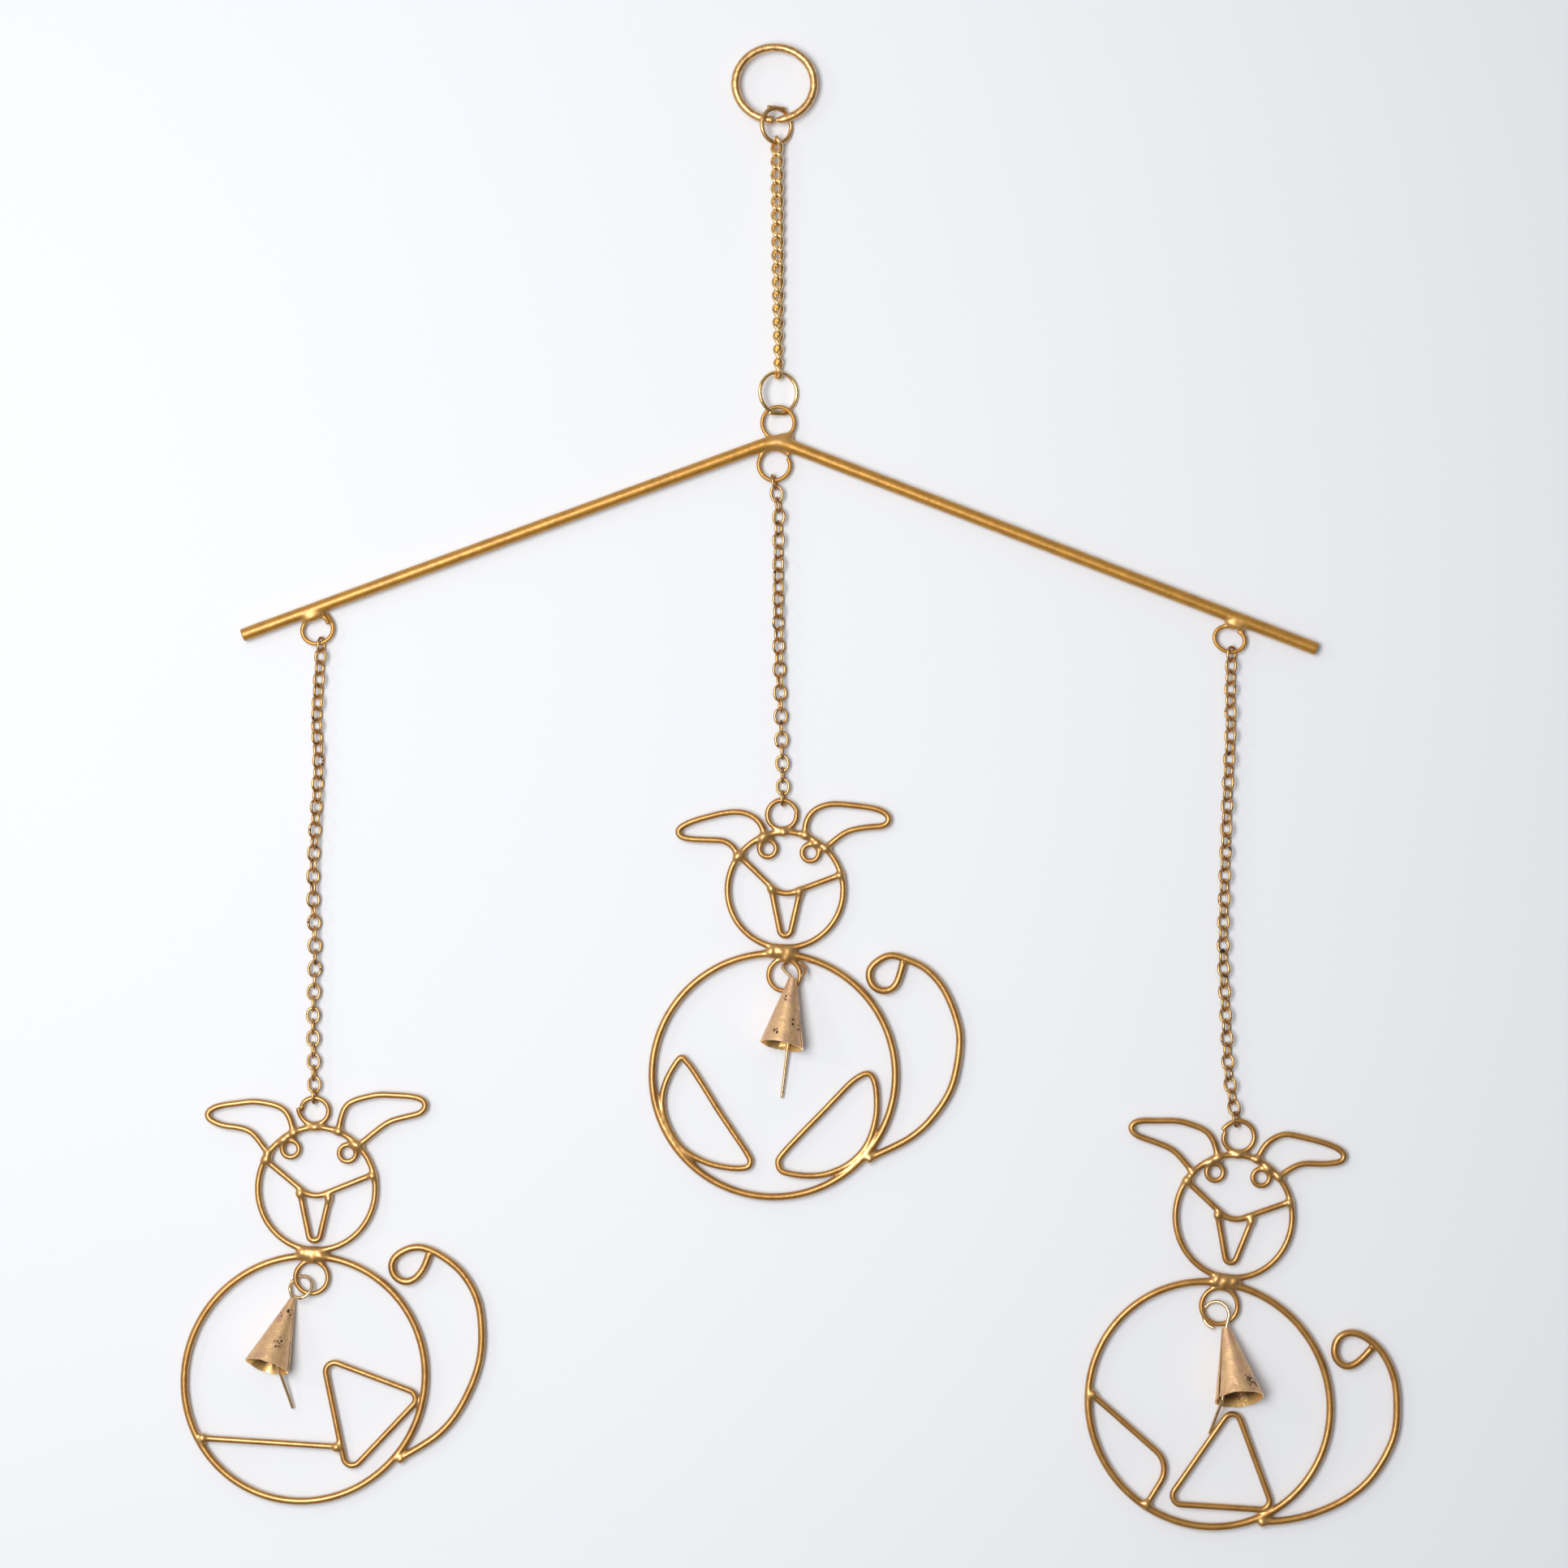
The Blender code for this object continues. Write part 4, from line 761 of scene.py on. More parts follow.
def welded(wires, beads, melt, grain, free_ends, seed, lump=WELD_LUMP):
    """A mesh of wires and beads melted into one skin. Free ends keep the cut of the wire.

    A net of small faces joins them first. Each point then goes down the slope of the melted skin.
    """
    wave, share = UNEVEN_WIRE
    wires = [(path, 0.5 * gauge * (1.0 + share * ripple(path, wave, seed)), closed)
             for path, gauge, closed in wires]
    nets = [net(wire_skin(path, 2.0 * radius, closed), closed) for path, radius, closed in wires]
    nets += [net(ball_skin(*bead)) for bead in beads]
    thing = placed("net", mesh_of(*joined(nets)))
    join = thing.modifiers.new("join", "REMESH")
    join.mode = "VOXEL"
    join.voxel_size = grain * MM
    mesh = settled(thing)
    points = read(mesh.vertices, "co", 3, np.float32).astype(float) / MM
    edges = read(mesh.edges, "vertices", 2)
    count = np.bincount(edges.ravel(), minlength=len(points)).astype(float)
    held = np.ones(len(points))
    for end in free_ends:
        away = np.linalg.norm(points - end, axis=1)
        held = np.minimum(held, ramp(away, END_KEPT, END_EASE))
    for ease in (2, 1, 0):
        for _ in range(ease):
            points += held[:, None] * (relaxed(points, edges, count) - points)
        for _ in range(2):
            height, slope, meeting = melted(points, wires, beads, melt)
            steep = np.maximum((slope**2).sum(axis=1), LEAST_SLOPE)
            step = np.clip(height, -MOST_STEP, MOST_STEP) / steep * held
            points -= step[:, None] * slope
    # Wires are a little uneven, and welds are lumpy too
    molten = ramp(meeting, MOLTEN_FROM, MOLTEN_EASE)
    wave, rise = UNEVEN_SKIN
    rise = rise * ripple(points, wave, seed + 1) + lump * molten * ripple(points, LUMP_WAVE, seed + 2)
    points += (rise * held)[:, None] * slope
    mesh.vertices.foreach_set("co", (points * MM).astype(np.float32).ravel())
    carry(mesh, "weld", molten)
    mesh.update()
    return mesh


def finished(context, name, mesh, node, finish):
    """Give a piece its metal, and let it stand for its node of the frame."""
    mesh.name = name
    thing = placed(name, mesh)
    mesh.materials.append(metal(context.scene.chime_finishes, finish))
    mesh.shade_smooth()
    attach(thing, "root")
    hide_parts(node)


# Where everything hangs


def bar_point(side, reach):
    """A point of an arm's centre line, at a distance from the corner where both lines meet."""
    angle = math.radians(LEFT_SLOPE if side < 0 else RIGHT_SLOPE)
    return np.array((side * reach * math.cos(angle), -reach * math.sin(angle)))


def sway_path(start, end_depth, run, sway):
    """Points down a chain that sways sideways, and how far along each is."""
    shares, offsets = np.array(sway, float).T
    drop = np.linspace(0.0, run, 400)
    curve = smooth(np.stack((shares * run, offsets), axis=1), steps=20)
    side = np.interp(drop, curve[:, 0], curve[:, 1])
    depth = np.interp(drop, (0.0, run), (start[1], end_depth))
    points = np.stack((start[0] + side, depth, start[2] - drop), axis=1)
    return points, lengths_along(points)


def chain_plan(count, gauge, inside, start, end_depth, sway):
    """The tips of each link of a chain, and where it ends."""
    # The solids' wire has six sides, whose corners reach further than round wire
    half = 0.5 * inside + 0.5 * gauge / math.cos(math.pi / 6)
    run = (count - 1) * (inside + BITE) + 2 * half
    points, along = sway_path(start, end_depth, run, sway)
    middle = half + np.arange(count) * (inside + BITE)
    return [places_at(points, along, middle + way * half) for way in (-1, 1)], places_at(points, along, run)


def cat_plan(cat, wires, hook):
    """The centres of a cat's rings, hung so that its ring's wire rests at the hook."""
    face, body, loop, eye = mm(wires.face), mm(wires.body), mm(wires.loop), mm(wires.eye)

    def reach(ring, angle):
        return oval_reach(cat[ring], angle)

    top, down = 90.0 + cat["hang_contact"], cat["head_under"]
    hang = polar(hook, top + 180.0, reach("hang", top))
    gap = 0.5 * (loop + face)
    head = polar(hang, down, reach("hang", down) + gap - 2 * WELD_SINK + reach("head", down))
    under, at = cat["body_under"], cat["bell_ring_at"]
    gap = 0.5 * (face + body)
    neck = polar(head, under, reach("head", under) + 0.5 * gap)
    middle = polar(head, under, reach("head", under) + gap - NECK_SINK + reach("body", under))
    ring = polar(middle, at, reach("body", at) - cat["bell_ring"] - 0.5 * (loop + body) + WELD_SINK)
    eyes = [polar(head, angle, reach("head", angle) - EYE_RADIUS - 0.5 * (face + eye) + WELD_SINK)
            for angle in cat["eyes"]]
    return {"hang": hang, "head": head, "neck": neck, "body": middle, "ring": ring, "eyes": eyes}


def bell_frame(cat, ring):
    """The place and lean of a bell that points down its own -Z from the middle of its crown."""
    run, mouth = cat["bell"]
    tilt = math.radians(cat["bell_tilt"])
    x, z = polar(ring, *cat["bell_at"])
    y = BOARD_DEPTH - CLEARANCE - 0.5 * mouth * math.cos(tilt) + run * math.sin(tilt)
    lean = Matrix.Rotation(math.radians(cat["bell_lean"]), 4, "Y")
    return np.array(Matrix.Translation((x, y, z)) @ lean @ Matrix.Rotation(-tilt, 4, "X"))


def in_frame(place, points):
    """Points of a bell's own frame, where they are in the chime."""
    return np.asarray(points, float) @ place[:3, :3].T + place[:3, 3]


def plan(wires):
    """Where every piece hangs, from the hanging ring down."""

    def half(*gauges):
        return 0.5 * mm(sum(gauges))

    hang = np.array((0.0, half(wires.hang) - HANG_OVAL[1]))
    foot = hang[1] - HANG_OVAL[1]
    top = foot + half(wires.hang, wires.top_jump) + CLEARANCE + TOP_JUMP_SLACK - TOP_JUMP_OVAL[1]
    hook = top - TOP_JUMP_OVAL[1] + half(wires.top_jump, wires.curb) + CURB_PLAY
    curb, end = chain_plan(CURB_LINKS, mm(wires.curb), CURB_INSIDE, (TOP_JUMP_X, 0.0, hook), BAR_DEPTH,
                           ((0, 0), (1, LOW_JUMP_X - TOP_JUMP_X)))
    low = end[2] + half(wires.curb, wires.low_jump) + CURB_PLAY - LOW_JUMP_OVAL[1]
    gap = half(wires.low_jump, wires.crown_ring) + CLEARANCE + CROWN_RING_SLACK
    crown = low - LOW_JUMP_OVAL[1] + gap - CROWN_RING_RADIUS
    apex = crown - CROWN_RING_RADIUS - half(wires.rod, wires.crown_ring) + CROWN_RING_SINK
    rise = ROD_BEND_RADIUS * (1.0 / math.cos(math.radians(0.5 * (LEFT_SLOPE + RIGHT_SLOPE))) - 1.0)
    corner = np.array((APEX_X, apex + rise))
    foot = apex - FOOT_RING_RADIUS - half(wires.rod, wires.foot_ring) + FOOT_RING_SINK
    centre = np.array((FOOT_RING_X, foot))
    rings = {"centre": (centre, (FOOT_RING_RADIUS, FOOT_RING_RADIUS, 0.0), mm(wires.foot_ring))}
    welds = []
    for side, name, slope in ((-1, "left", LEFT_SLOPE), (1, "right", -RIGHT_SLOPE)):
        width, height, sink = END_RINGS[name]
        under = np.array((math.sin(math.radians(slope)), -math.cos(math.radians(slope))))
        foot = corner + bar_point(side, END_RING_REACH)
        centre = foot + under * (0.5 * (mm(wires.rod + wires.end_ring) + height) - sink)
        rings[name] = (centre, (0.5 * width, 0.5 * height, slope), mm(wires.end_ring))
        welds.append((foot + under * half(wires.rod), slope))
    made = {
        "hang": hang, "top_jump": np.array((TOP_JUMP_X, top)), "curb": curb,
        "low_jump": np.array((LOW_JUMP_X, low)), "crown": np.array((CROWN_RING_X, crown)),
        "apex": np.array((APEX_X, apex)), "corner": corner, "rings": rings, "end_welds": welds,
    }
    for name, cat in CATS.items():
        centre, oval, gauge = rings[name]
        angle = cat["bar_contact"] - 90.0
        x, z = polar(centre, angle, oval_reach(oval, angle))
        start = (x, BAR_DEPTH, z + 0.5 * (gauge + mm(wires.link)) + LINK_PLAY)
        tips, end = chain_plan(cat["links"], mm(wires.link), cat["link_inside"], start, CAT_DEPTH,
                               cat["sway"])
        hook = (end[0], end[2] + half(wires.loop, wires.link) + LINK_PLAY)
        made[name] = {"tips": tips, **cat_plan(cat, wires, hook)}
        made[name]["bell"] = bell_frame(cat, made[name]["ring"])
    return made


# Skins of the pieces


def link_skin(gauge, half_width, half_length, twist, rows, sides):
    """One link on the Z axis: a squared oval carried round, then turned about Z in step with its height."""
    turn = np.linspace(0.0, 2.0 * math.pi, rows, endpoint=False)
    across, up = (np.sign(part) * np.abs(part) ** LINK_SQUARENESS for part in (np.cos(turn), np.sin(turn)))
    path = np.stack((half_width * across, np.zeros(rows), half_length * up), axis=1)
    skin = wire_skin(even(path, LINK_STEP, True) if twist else path, gauge, True, sides)
    spin = np.radians(twist) * np.clip(skin[..., 2] / half_length, -1.0, 1.0)
    x, y = skin[..., 0].copy(), skin[..., 1].copy()
    skin[..., 0] = x * np.cos(spin) - y * np.sin(spin)
    skin[..., 1] = x * np.sin(spin) + y * np.cos(spin)
    return skin


def chain_mesh(skin, tips, turns):
    """A link's skin set between each pair of tips, and turned about the line through them."""
    tops, feet = tips
    up = tops - feet
    up = up / np.linalg.norm(up, axis=1)[:, None]
    side = np.array((1.0, 0.0, 0.0)) - up * up[:, :1]
    side = side / np.linalg.norm(side, axis=1)[:, None]
    front = np.cross(up, side)
    turn = np.radians(turns)[:, None]
    x = side * np.cos(turn) + front * np.sin(turn)
    y = front * np.cos(turn) - side * np.sin(turn)
    axes = np.stack((x, y, up), axis=1)
    points, faces = net(skin, True)
    moved = np.einsum("pi,kij->kpj", points, axes) + (0.5 * (tops + feet))[:, None]
    count = len(points)
    all_faces = (np.arange(len(tops))[:, None, None] * count + np.array(faces)).reshape(-1, 4).tolist()
    return mesh_of(moved.reshape(-1, 3), all_faces)


def dabs(spots, gauge, seed):
    """Lumps of melted metal at these places, each with its own size, lean and stray."""
    random = np.random.default_rng(seed)
    made = []
    for x, z in spots:
        size = gauge * random.uniform(DAB_LEAST, DAB_MOST)
        x, z = np.array((x, z)) + random.uniform(-DAB_STRAY, DAB_STRAY, 2)
        made.append((np.array((x, CAT_DEPTH - DAB_FORWARD, z)), size, random.uniform(0.0, 180.0)))
    return made


def cat_wires(cat, spots, wires):
    """Every wire of a cat as path, gauge and whether it closes, its weld beads, and its free ends."""
    face, body, loop, eye = mm(wires.face), mm(wires.body), mm(wires.loop), mm(wires.eye)

    def wire(path, gauge, closed=False):
        return stood(even(path, CAT_STEP, closed), CAT_DEPTH), gauge, closed

    def on(ring, marks):
        return on_ring(spots[ring], cat[ring], marks)

    def curled(points, rounds):
        return eased(even(smooth(points), CAT_STEP), rounds)

    hang = cut_ring(spots["hang"], cat["hang"], CAT_DEPTH, *cat["hang_cut"])
    made = [
        wire(oval_path(spots["body"], cat["body"], count=400), body, True),
        wire(oval_path(spots["head"], cat["head"], count=240), face, True),
        (hang, loop, False),
        wire(oval_path(spots["ring"], (cat["bell_ring"], cat["bell_ring"], 0.0)), loop, True),
    ]
    welds = []
    for centre in spots["eyes"]:
        made.append(wire(oval_path(centre, (EYE_RADIUS, EYE_RADIUS, 0.0), count=48), eye, True))
        outward = (centre - spots["head"]) / np.linalg.norm(centre - spots["head"])
        welds.append(centre + outward * (EYE_RADIUS + WELD_REACH * eye))
    tail = wire(curled(on("body", cat["tail"]), CURL_ROUNDS), body)
    made.append(tail)
    welds.append(tail[0][0, ::2])
    paths = [curled(on("head", cat[ear]), CURL_ROUNDS // 2) for ear in ("left_ear", "right_ear")]
    paths += [bent(on("head", cat["muzzle"]), MUZZLE_BEND), bent(on("head", cat["nose"]), NOSE_BEND)]
    paths += [bent(on("body", leg), cat["open_leg_bend"]) for leg in cat["open_legs"]]
    for open_wire in [wire(path, face) for path in paths]:
        made.append(open_wire)
        welds += [open_wire[0][0, ::2], open_wire[0][-1, ::2]]
    made += [wire(bent(on("body", leg), LEG_BEND, True), face, True) for leg in cat["bent_legs"]]
    made += [wire(smooth(on("body", leg), True), face, True) for leg in cat["round_legs"]]
    under, lean = cat["head_under"], cat["body_under"] + 90.0
    welds.append(polar(spots["head"], under + 180.0, oval_reach(cat["head"], under)))
    welds.append(polar(spots["ring"], cat["bell_ring_at"], cat["bell_ring"] + WELD_REACH * loop))
    neck = (spots["neck"][0], CAT_DEPTH, spots["neck"][1])
    beads = [(neck, NECK_WELD, lean)] + dabs(welds, face, DAB_SEED)
    beads += dabs([polar(spots["neck"], lean, reach) for reach in NECK_DABS], body, cat["links"])
    return made, beads, [tail[0][-1], hang[0], hang[-1]]


def bell_sheet(cat, place, seed):
    """Rolled sheet: its radius grows evenly from crown to mouth, with slow dents and a wavy rim.

    The mouth is cut aslant. The sheet ends short of where it starts, or laps over it. Each point also
    gets how far down it is and how pitted it is, which fades out from each pit on the front.
    """
    run, mouth = cat["bell"]
    crown, gap = cat["crown"], cat["seam_gap"]
    down = np.linspace(0.0, 1.0, 60)[:, None]
    share = np.linspace(0.0, 1.0, 150)[None]
    turn = np.radians(cat["seam"] + 0.5 * gap + (360.0 - gap) * share)
    down, turn = np.broadcast_arrays(down, turn)
    radius = 0.5 * (crown + (mouth - crown) * down)
    if gap < 0.0:
        radius = radius - LAP_STEP * ramp(share, LAP_FROM, LAP_EASE) * np.clip(3.0 * down + 0.1, 0.0, 1.0)
    x, y = radius * np.cos(turn), radius * np.sin(turn)
    around = np.stack((x, y, -run * down), axis=-1).reshape(-1, 3)
    dent = ripple(around, DENT[0], seed).reshape(x.shape)
    pock = ripple(around, POCK[0], seed + 1).reshape(x.shape)
    swell = 1.0 + (DENT[1] * dent + POCK[1] * pock - SHRINK) * np.clip(4.0 * down, 0.0, 1.0)
    slant, skew = (math.tan(math.radians(cat[angle])) for angle in ("mouth_slant", "mouth_skew"))
    z = -run * down - down * (slant * y + skew * x) + RIM_WAVE * pock * down**4
    pitted = np.zeros_like(x)
    for side, depth, size in cat["pits"]:
        away = ((x - side) ** 2 + (run * (down - depth)) ** 2) / size**2
        pitted += np.exp(-away) * (y < 0.0)
    points = in_frame(place, np.stack((x * swell, y * swell, z), axis=-1).reshape(-1, 3))
    return points, x.shape, down.ravel(), pitted.ravel()


def sheet_faces(shape):
    """Four-sided faces between the neighbours of a grid with open edges."""
    index = np.arange(shape[0] * shape[1]).reshape(shape)
    corners = (index[:-1, :-1], index[:-1, 1:], index[1:, 1:], index[1:, :-1])
    return np.stack(corners, axis=-1).reshape(-1, 4).tolist()


def hanger_path(cat, spots):
    """A turned loop in the cat's bell ring, a stem through the crown and an eye inside the bell."""
    across, up, depth, radius = cat["hanger"]
    centre = spots["ring"] + np.array((across, up))
    start, sweep = cat["hanger_run"]
    loop = oval_path(centre, (radius, radius, 0.0), start, sweep, 15)
    loop = stood(loop, depth, centre, *cat["hanger_turn"])
    bend = np.radians(np.linspace(45.0, 315.0, 12))
    eye = np.stack((EYE_BEND * np.sin(bend), np.zeros(12), EYE_BEND * np.cos(bend) - EYE_DROP), axis=1)
    stem = [(0.0, 0.0, z) for z in (-STEM_START, -4 * STEM_START, STEM_END * EYE_BEND - EYE_DROP)]
    inside = in_frame(spots["bell"], np.concatenate((stem, eye)))
    return eased(even(smooth(np.concatenate((loop, inside)), steps=10), BELL_WIRE_STEP), 8)


def clapper_path(cat, spots, wires):
    """An eye hooked in the hanger's eye and a straight wire out of the mouth."""
    drop = EYE_DROP + 2 * EYE_BEND - 0.5 * mm(wires.hanger + wires.clapper) - CLEARANCE
    bend = np.radians(np.linspace(-120.0, 170.0, 40))
    eye = np.stack((np.zeros(40), -EYE_BEND * np.sin(bend), EYE_BEND * np.cos(bend) - drop), axis=1)
    crown = spots["bell"][:3, 3]
    reach = float(oval_reach(cat["body"], -90.0))
    shank = [(crown[0] + reach * x, depth, crown[2] + reach * z) for x, depth, z in cat["clapper"]]
    return eased(even(np.concatenate((in_frame(spots["bell"], eye), shank)), BELL_WIRE_STEP), 12)


# Materials


def feed(tree, socket, value):
    """Link another node's socket to an input, or set it to a value."""
    if isinstance(value, bpy.types.NodeSocket):
        tree.links.new(value, socket)
    else:
        socket.default_value = value


def node(tree, kind, inputs=None, **settings):
    """A shader node with its settings and inputs."""
    made = tree.nodes.new(kind)
    for key, value in settings.items():
        setattr(made, key, value)
    for key, value in (inputs or {}).items():
        feed(tree, made.inputs[key], value)
    return made


def mixed(tree, factor, first, second):
    """The colour of a mix of two colours."""
    return node(tree, "ShaderNodeMix", {0: factor, 6: first, 7: second}, data_type="RGBA").outputs[2]


def maths(tree, operation, *values, clamp=False):
    """The result of a sum of two or three values."""
    made = node(tree, "ShaderNodeMath", dict(enumerate(values)), operation=operation, use_clamp=clamp)
    return made.outputs[0]


def fitted(tree, value, low, high, to_low=0.0, to_high=1.0):
    """A value stretched smoothly from one range to another."""
    inputs = {"Value": value, "From Min": low, "From Max": high, "To Min": to_low, "To Max": to_high}
    return node(tree, "ShaderNodeMapRange", inputs, interpolation_type="SMOOTHSTEP").outputs["Result"]


def noise(tree, vector, scale, detail, rough=0.5):
    """A cloudy pattern."""
    inputs = {"Vector": vector, "Scale": scale, "Detail": detail, "Roughness": rough}
    return node(tree, "ShaderNodeTexNoise", inputs).outputs


def attribute(tree, name):
    """A value that the mesh carries at its points."""
    return node(tree, "ShaderNodeAttribute", attribute_name=name).outputs["Fac"]


def rgba(value):
    """A colour with full opacity."""
    return (*value, 1.0)


def group(name, inputs, outputs):
    """A node group with its inner ends. The defaults say what its inputs take: none is a vector."""
    made = bpy.data.node_groups.new(name, "ShaderNodeTree")
    kinds = {type(None): "NodeSocketVector", float: "NodeSocketFloat", tuple: "NodeSocketColor"}
    for label, default in inputs.items():
        socket = made.interface.new_socket(label, in_out="INPUT", socket_type=kinds[type(default)])
        if default is not None:
            socket.default_value = default
    for label in outputs:
        kind = "NodeSocketColor" if label == "Colour" else "NodeSocketFloat"
        made.interface.new_socket(label, in_out="OUTPUT", socket_type=kind)
    return made, made.nodes.new("NodeGroupInput").outputs, made.nodes.new("NodeGroupOutput").inputs


def flake_group():
    """Metal flakes: small grains, and slow patches of a deeper colour."""
    tree, given, result = group("metal_flake", {
        "Vector": None, "Colour": (0.8, 0.5, 0.2, 1.0), "Deep colour": (0.5, 0.3, 0.1, 1.0),
        "Grain": 2600.0, "Patch": 180.0, "Rough": 0.35, "Spread": 0.1,
    }, ("Colour", "Roughness", "Height"))
    grain = noise(tree, given["Vector"], given["Grain"], 3.0, 0.6)["Fac"]
    patch = noise(tree, given["Vector"], given["Patch"], 4.0, 0.65)["Fac"]
    speck = maths(tree, "SUBTRACT", grain, 0.5)
    share = maths(tree, "ADD", fitted(tree, patch, *PATCH_LIMITS), speck, clamp=True)
    feed(tree, result["Colour"], mixed(tree, share, given["Colour"], given["Deep colour"]))
    feed(tree, result["Roughness"], maths(tree, "MULTIPLY_ADD", speck, given["Spread"], given["Rough"]))
    feed(tree, result["Height"], grain)
    return tree


def grime_group():
    """Grime and pits: dark middles of warped cells, in clusters where a slow pattern runs high."""
    tree, given, result = group("metal_grime", {
        "Vector": None, "Colour": (0.8, 0.5, 0.2, 1.0), "Grime colour": (0.05, 0.03, 0.02, 1.0),
        "Spot": 700.0, "Cluster": 110.0, "Amount": 0.5, "Pitted": 0.0,
    }, ("Colour", "Mask"))
    warp = noise(tree, given["Vector"], WARP_SCALE, 2.0)["Color"]
    warp = node(tree, "ShaderNodeVectorMath", {0: warp, 1: 3 * (WARP_REACH,)}, operation="MULTIPLY")
    place = node(tree, "ShaderNodeVectorMath", {0: given["Vector"], 1: warp.outputs[0]}, operation="ADD")
    spot = node(tree, "ShaderNodeTexVoronoi", {"Vector": place.outputs[0], "Scale": given["Spot"]})
    cluster = noise(tree, given["Vector"], given["Cluster"], 3.0, 0.6)["Fac"]
    raised = maths(tree, "MULTIPLY_ADD", given["Pitted"], PIT_SHARE, cluster)
    limit = maths(tree, "MULTIPLY", fitted(tree, raised, *CLUSTER_LIMITS, -0.1), given["Amount"])
    mask = fitted(tree, maths(tree, "SUBTRACT", limit, spot.outputs["Distance"]), *SPOT_LIMITS)
    feed(tree, result["Colour"], mixed(tree, mask, given["Colour"], given["Grime colour"]))
    feed(tree, result["Mask"], mask)
    return tree


def placed_group(tree, name, build, inputs):
    """The outputs of a node group, which is built once."""
    made = node(tree, "ShaderNodeGroup", node_tree=bpy.data.node_groups.get(name) or build())
    for key, value in inputs.items():
        feed(tree, made.inputs[key], value)
    return made.outputs


def metal(finishes, name):
    """A metal from flakes, welds painted paler as a highlight, a bright inner side with painted reflection and
    painted shade, and grime, as its row in METALS says.
    """
    if name in bpy.data.materials:
        return bpy.data.materials[name]
    look = METALS[name]
    base = getattr(finishes, look["base"])
    deep = look["deep"]
    deep = getattr(finishes, deep) if isinstance(deep, str) else [deep * part for part in base]
    made = bpy.data.materials.new(name)
    made.use_nodes = True
    tree = made.node_tree
    shader = tree.nodes["Principled BSDF"].inputs
    where = node(tree, "ShaderNodeTexCoord").outputs["Object"]
    flake = placed_group(tree, "metal_flake", flake_group, {
        "Vector": where, "Colour": rgba(base), "Deep colour": rgba(deep), "Grain": look["grain"],
        "Patch": look["patch"], "Rough": look["rough"], "Spread": look["spread"],
    })
    tint, roughness, height = flake["Colour"], flake["Roughness"], flake["Height"]
    if look.get("welded"):
        weld = attribute(tree, "weld")
        calm = maths(tree, "MULTIPLY_ADD", weld, -finishes.gloss, 1.0)
        roughness = maths(tree, "MULTIPLY", roughness, calm)
        # Painted highlight: where wires melt together the colour turns paler
        tint = mixed(tree, maths(tree, "MULTIPLY", weld, WELD_SHEEN_SHARE), tint, rgba(finishes.weld_sheen))
    if "inner_rough" in look:
        inside = attribute(tree, "inner")
        # Partly painted reflection: the inner face takes a brighter colour than the brass
        tint = mixed(tree, inside, tint, rgba(finishes.inside))
        # Painted shade: the inner side darkens to the hollow colour away from the mouth
        tint = mixed(tree, attribute(tree, "shade"), tint, rgba(finishes.hollow_shade))
        calm = maths(tree, "MULTIPLY_ADD", inside, look["inner_rough"] / look["rough"] - 1.0, 1.0)
        roughness = maths(tree, "MULTIPLY", roughness, calm)
    if "grime" in look:
        spot, cluster, share = look["grime"]
        dirt = placed_group(tree, "metal_grime", grime_group, {
            "Vector": where, "Colour": tint, "Grime colour": rgba(finishes.soot), "Spot": spot,
            "Cluster": cluster, "Amount": share, "Pitted": attribute(tree, "pitted"),
        })
        tint = dirt["Colour"]
        roughness = maths(tree, "MULTIPLY_ADD", dirt["Mask"], GRIME_ROUGH, roughness)
        height = maths(tree, "MULTIPLY_ADD", dirt["Mask"], -GRIME_DEPTH, height)
    bump = node(tree, "ShaderNodeBump", {"Height": height, "Distance": look["bump"] * MM, "Strength": 1.0})
    for key, value in (("Base Color", tint), ("Roughness", roughness), ("Normal", bump.outputs["Normal"]),
                       ("Metallic", look.get("metallic", 1.0)),
                       *zip(("Coat Weight", "Coat Roughness", "Coat IOR"), look["coat"])):
        feed(tree, shader[key], value)
    return made


# Operators


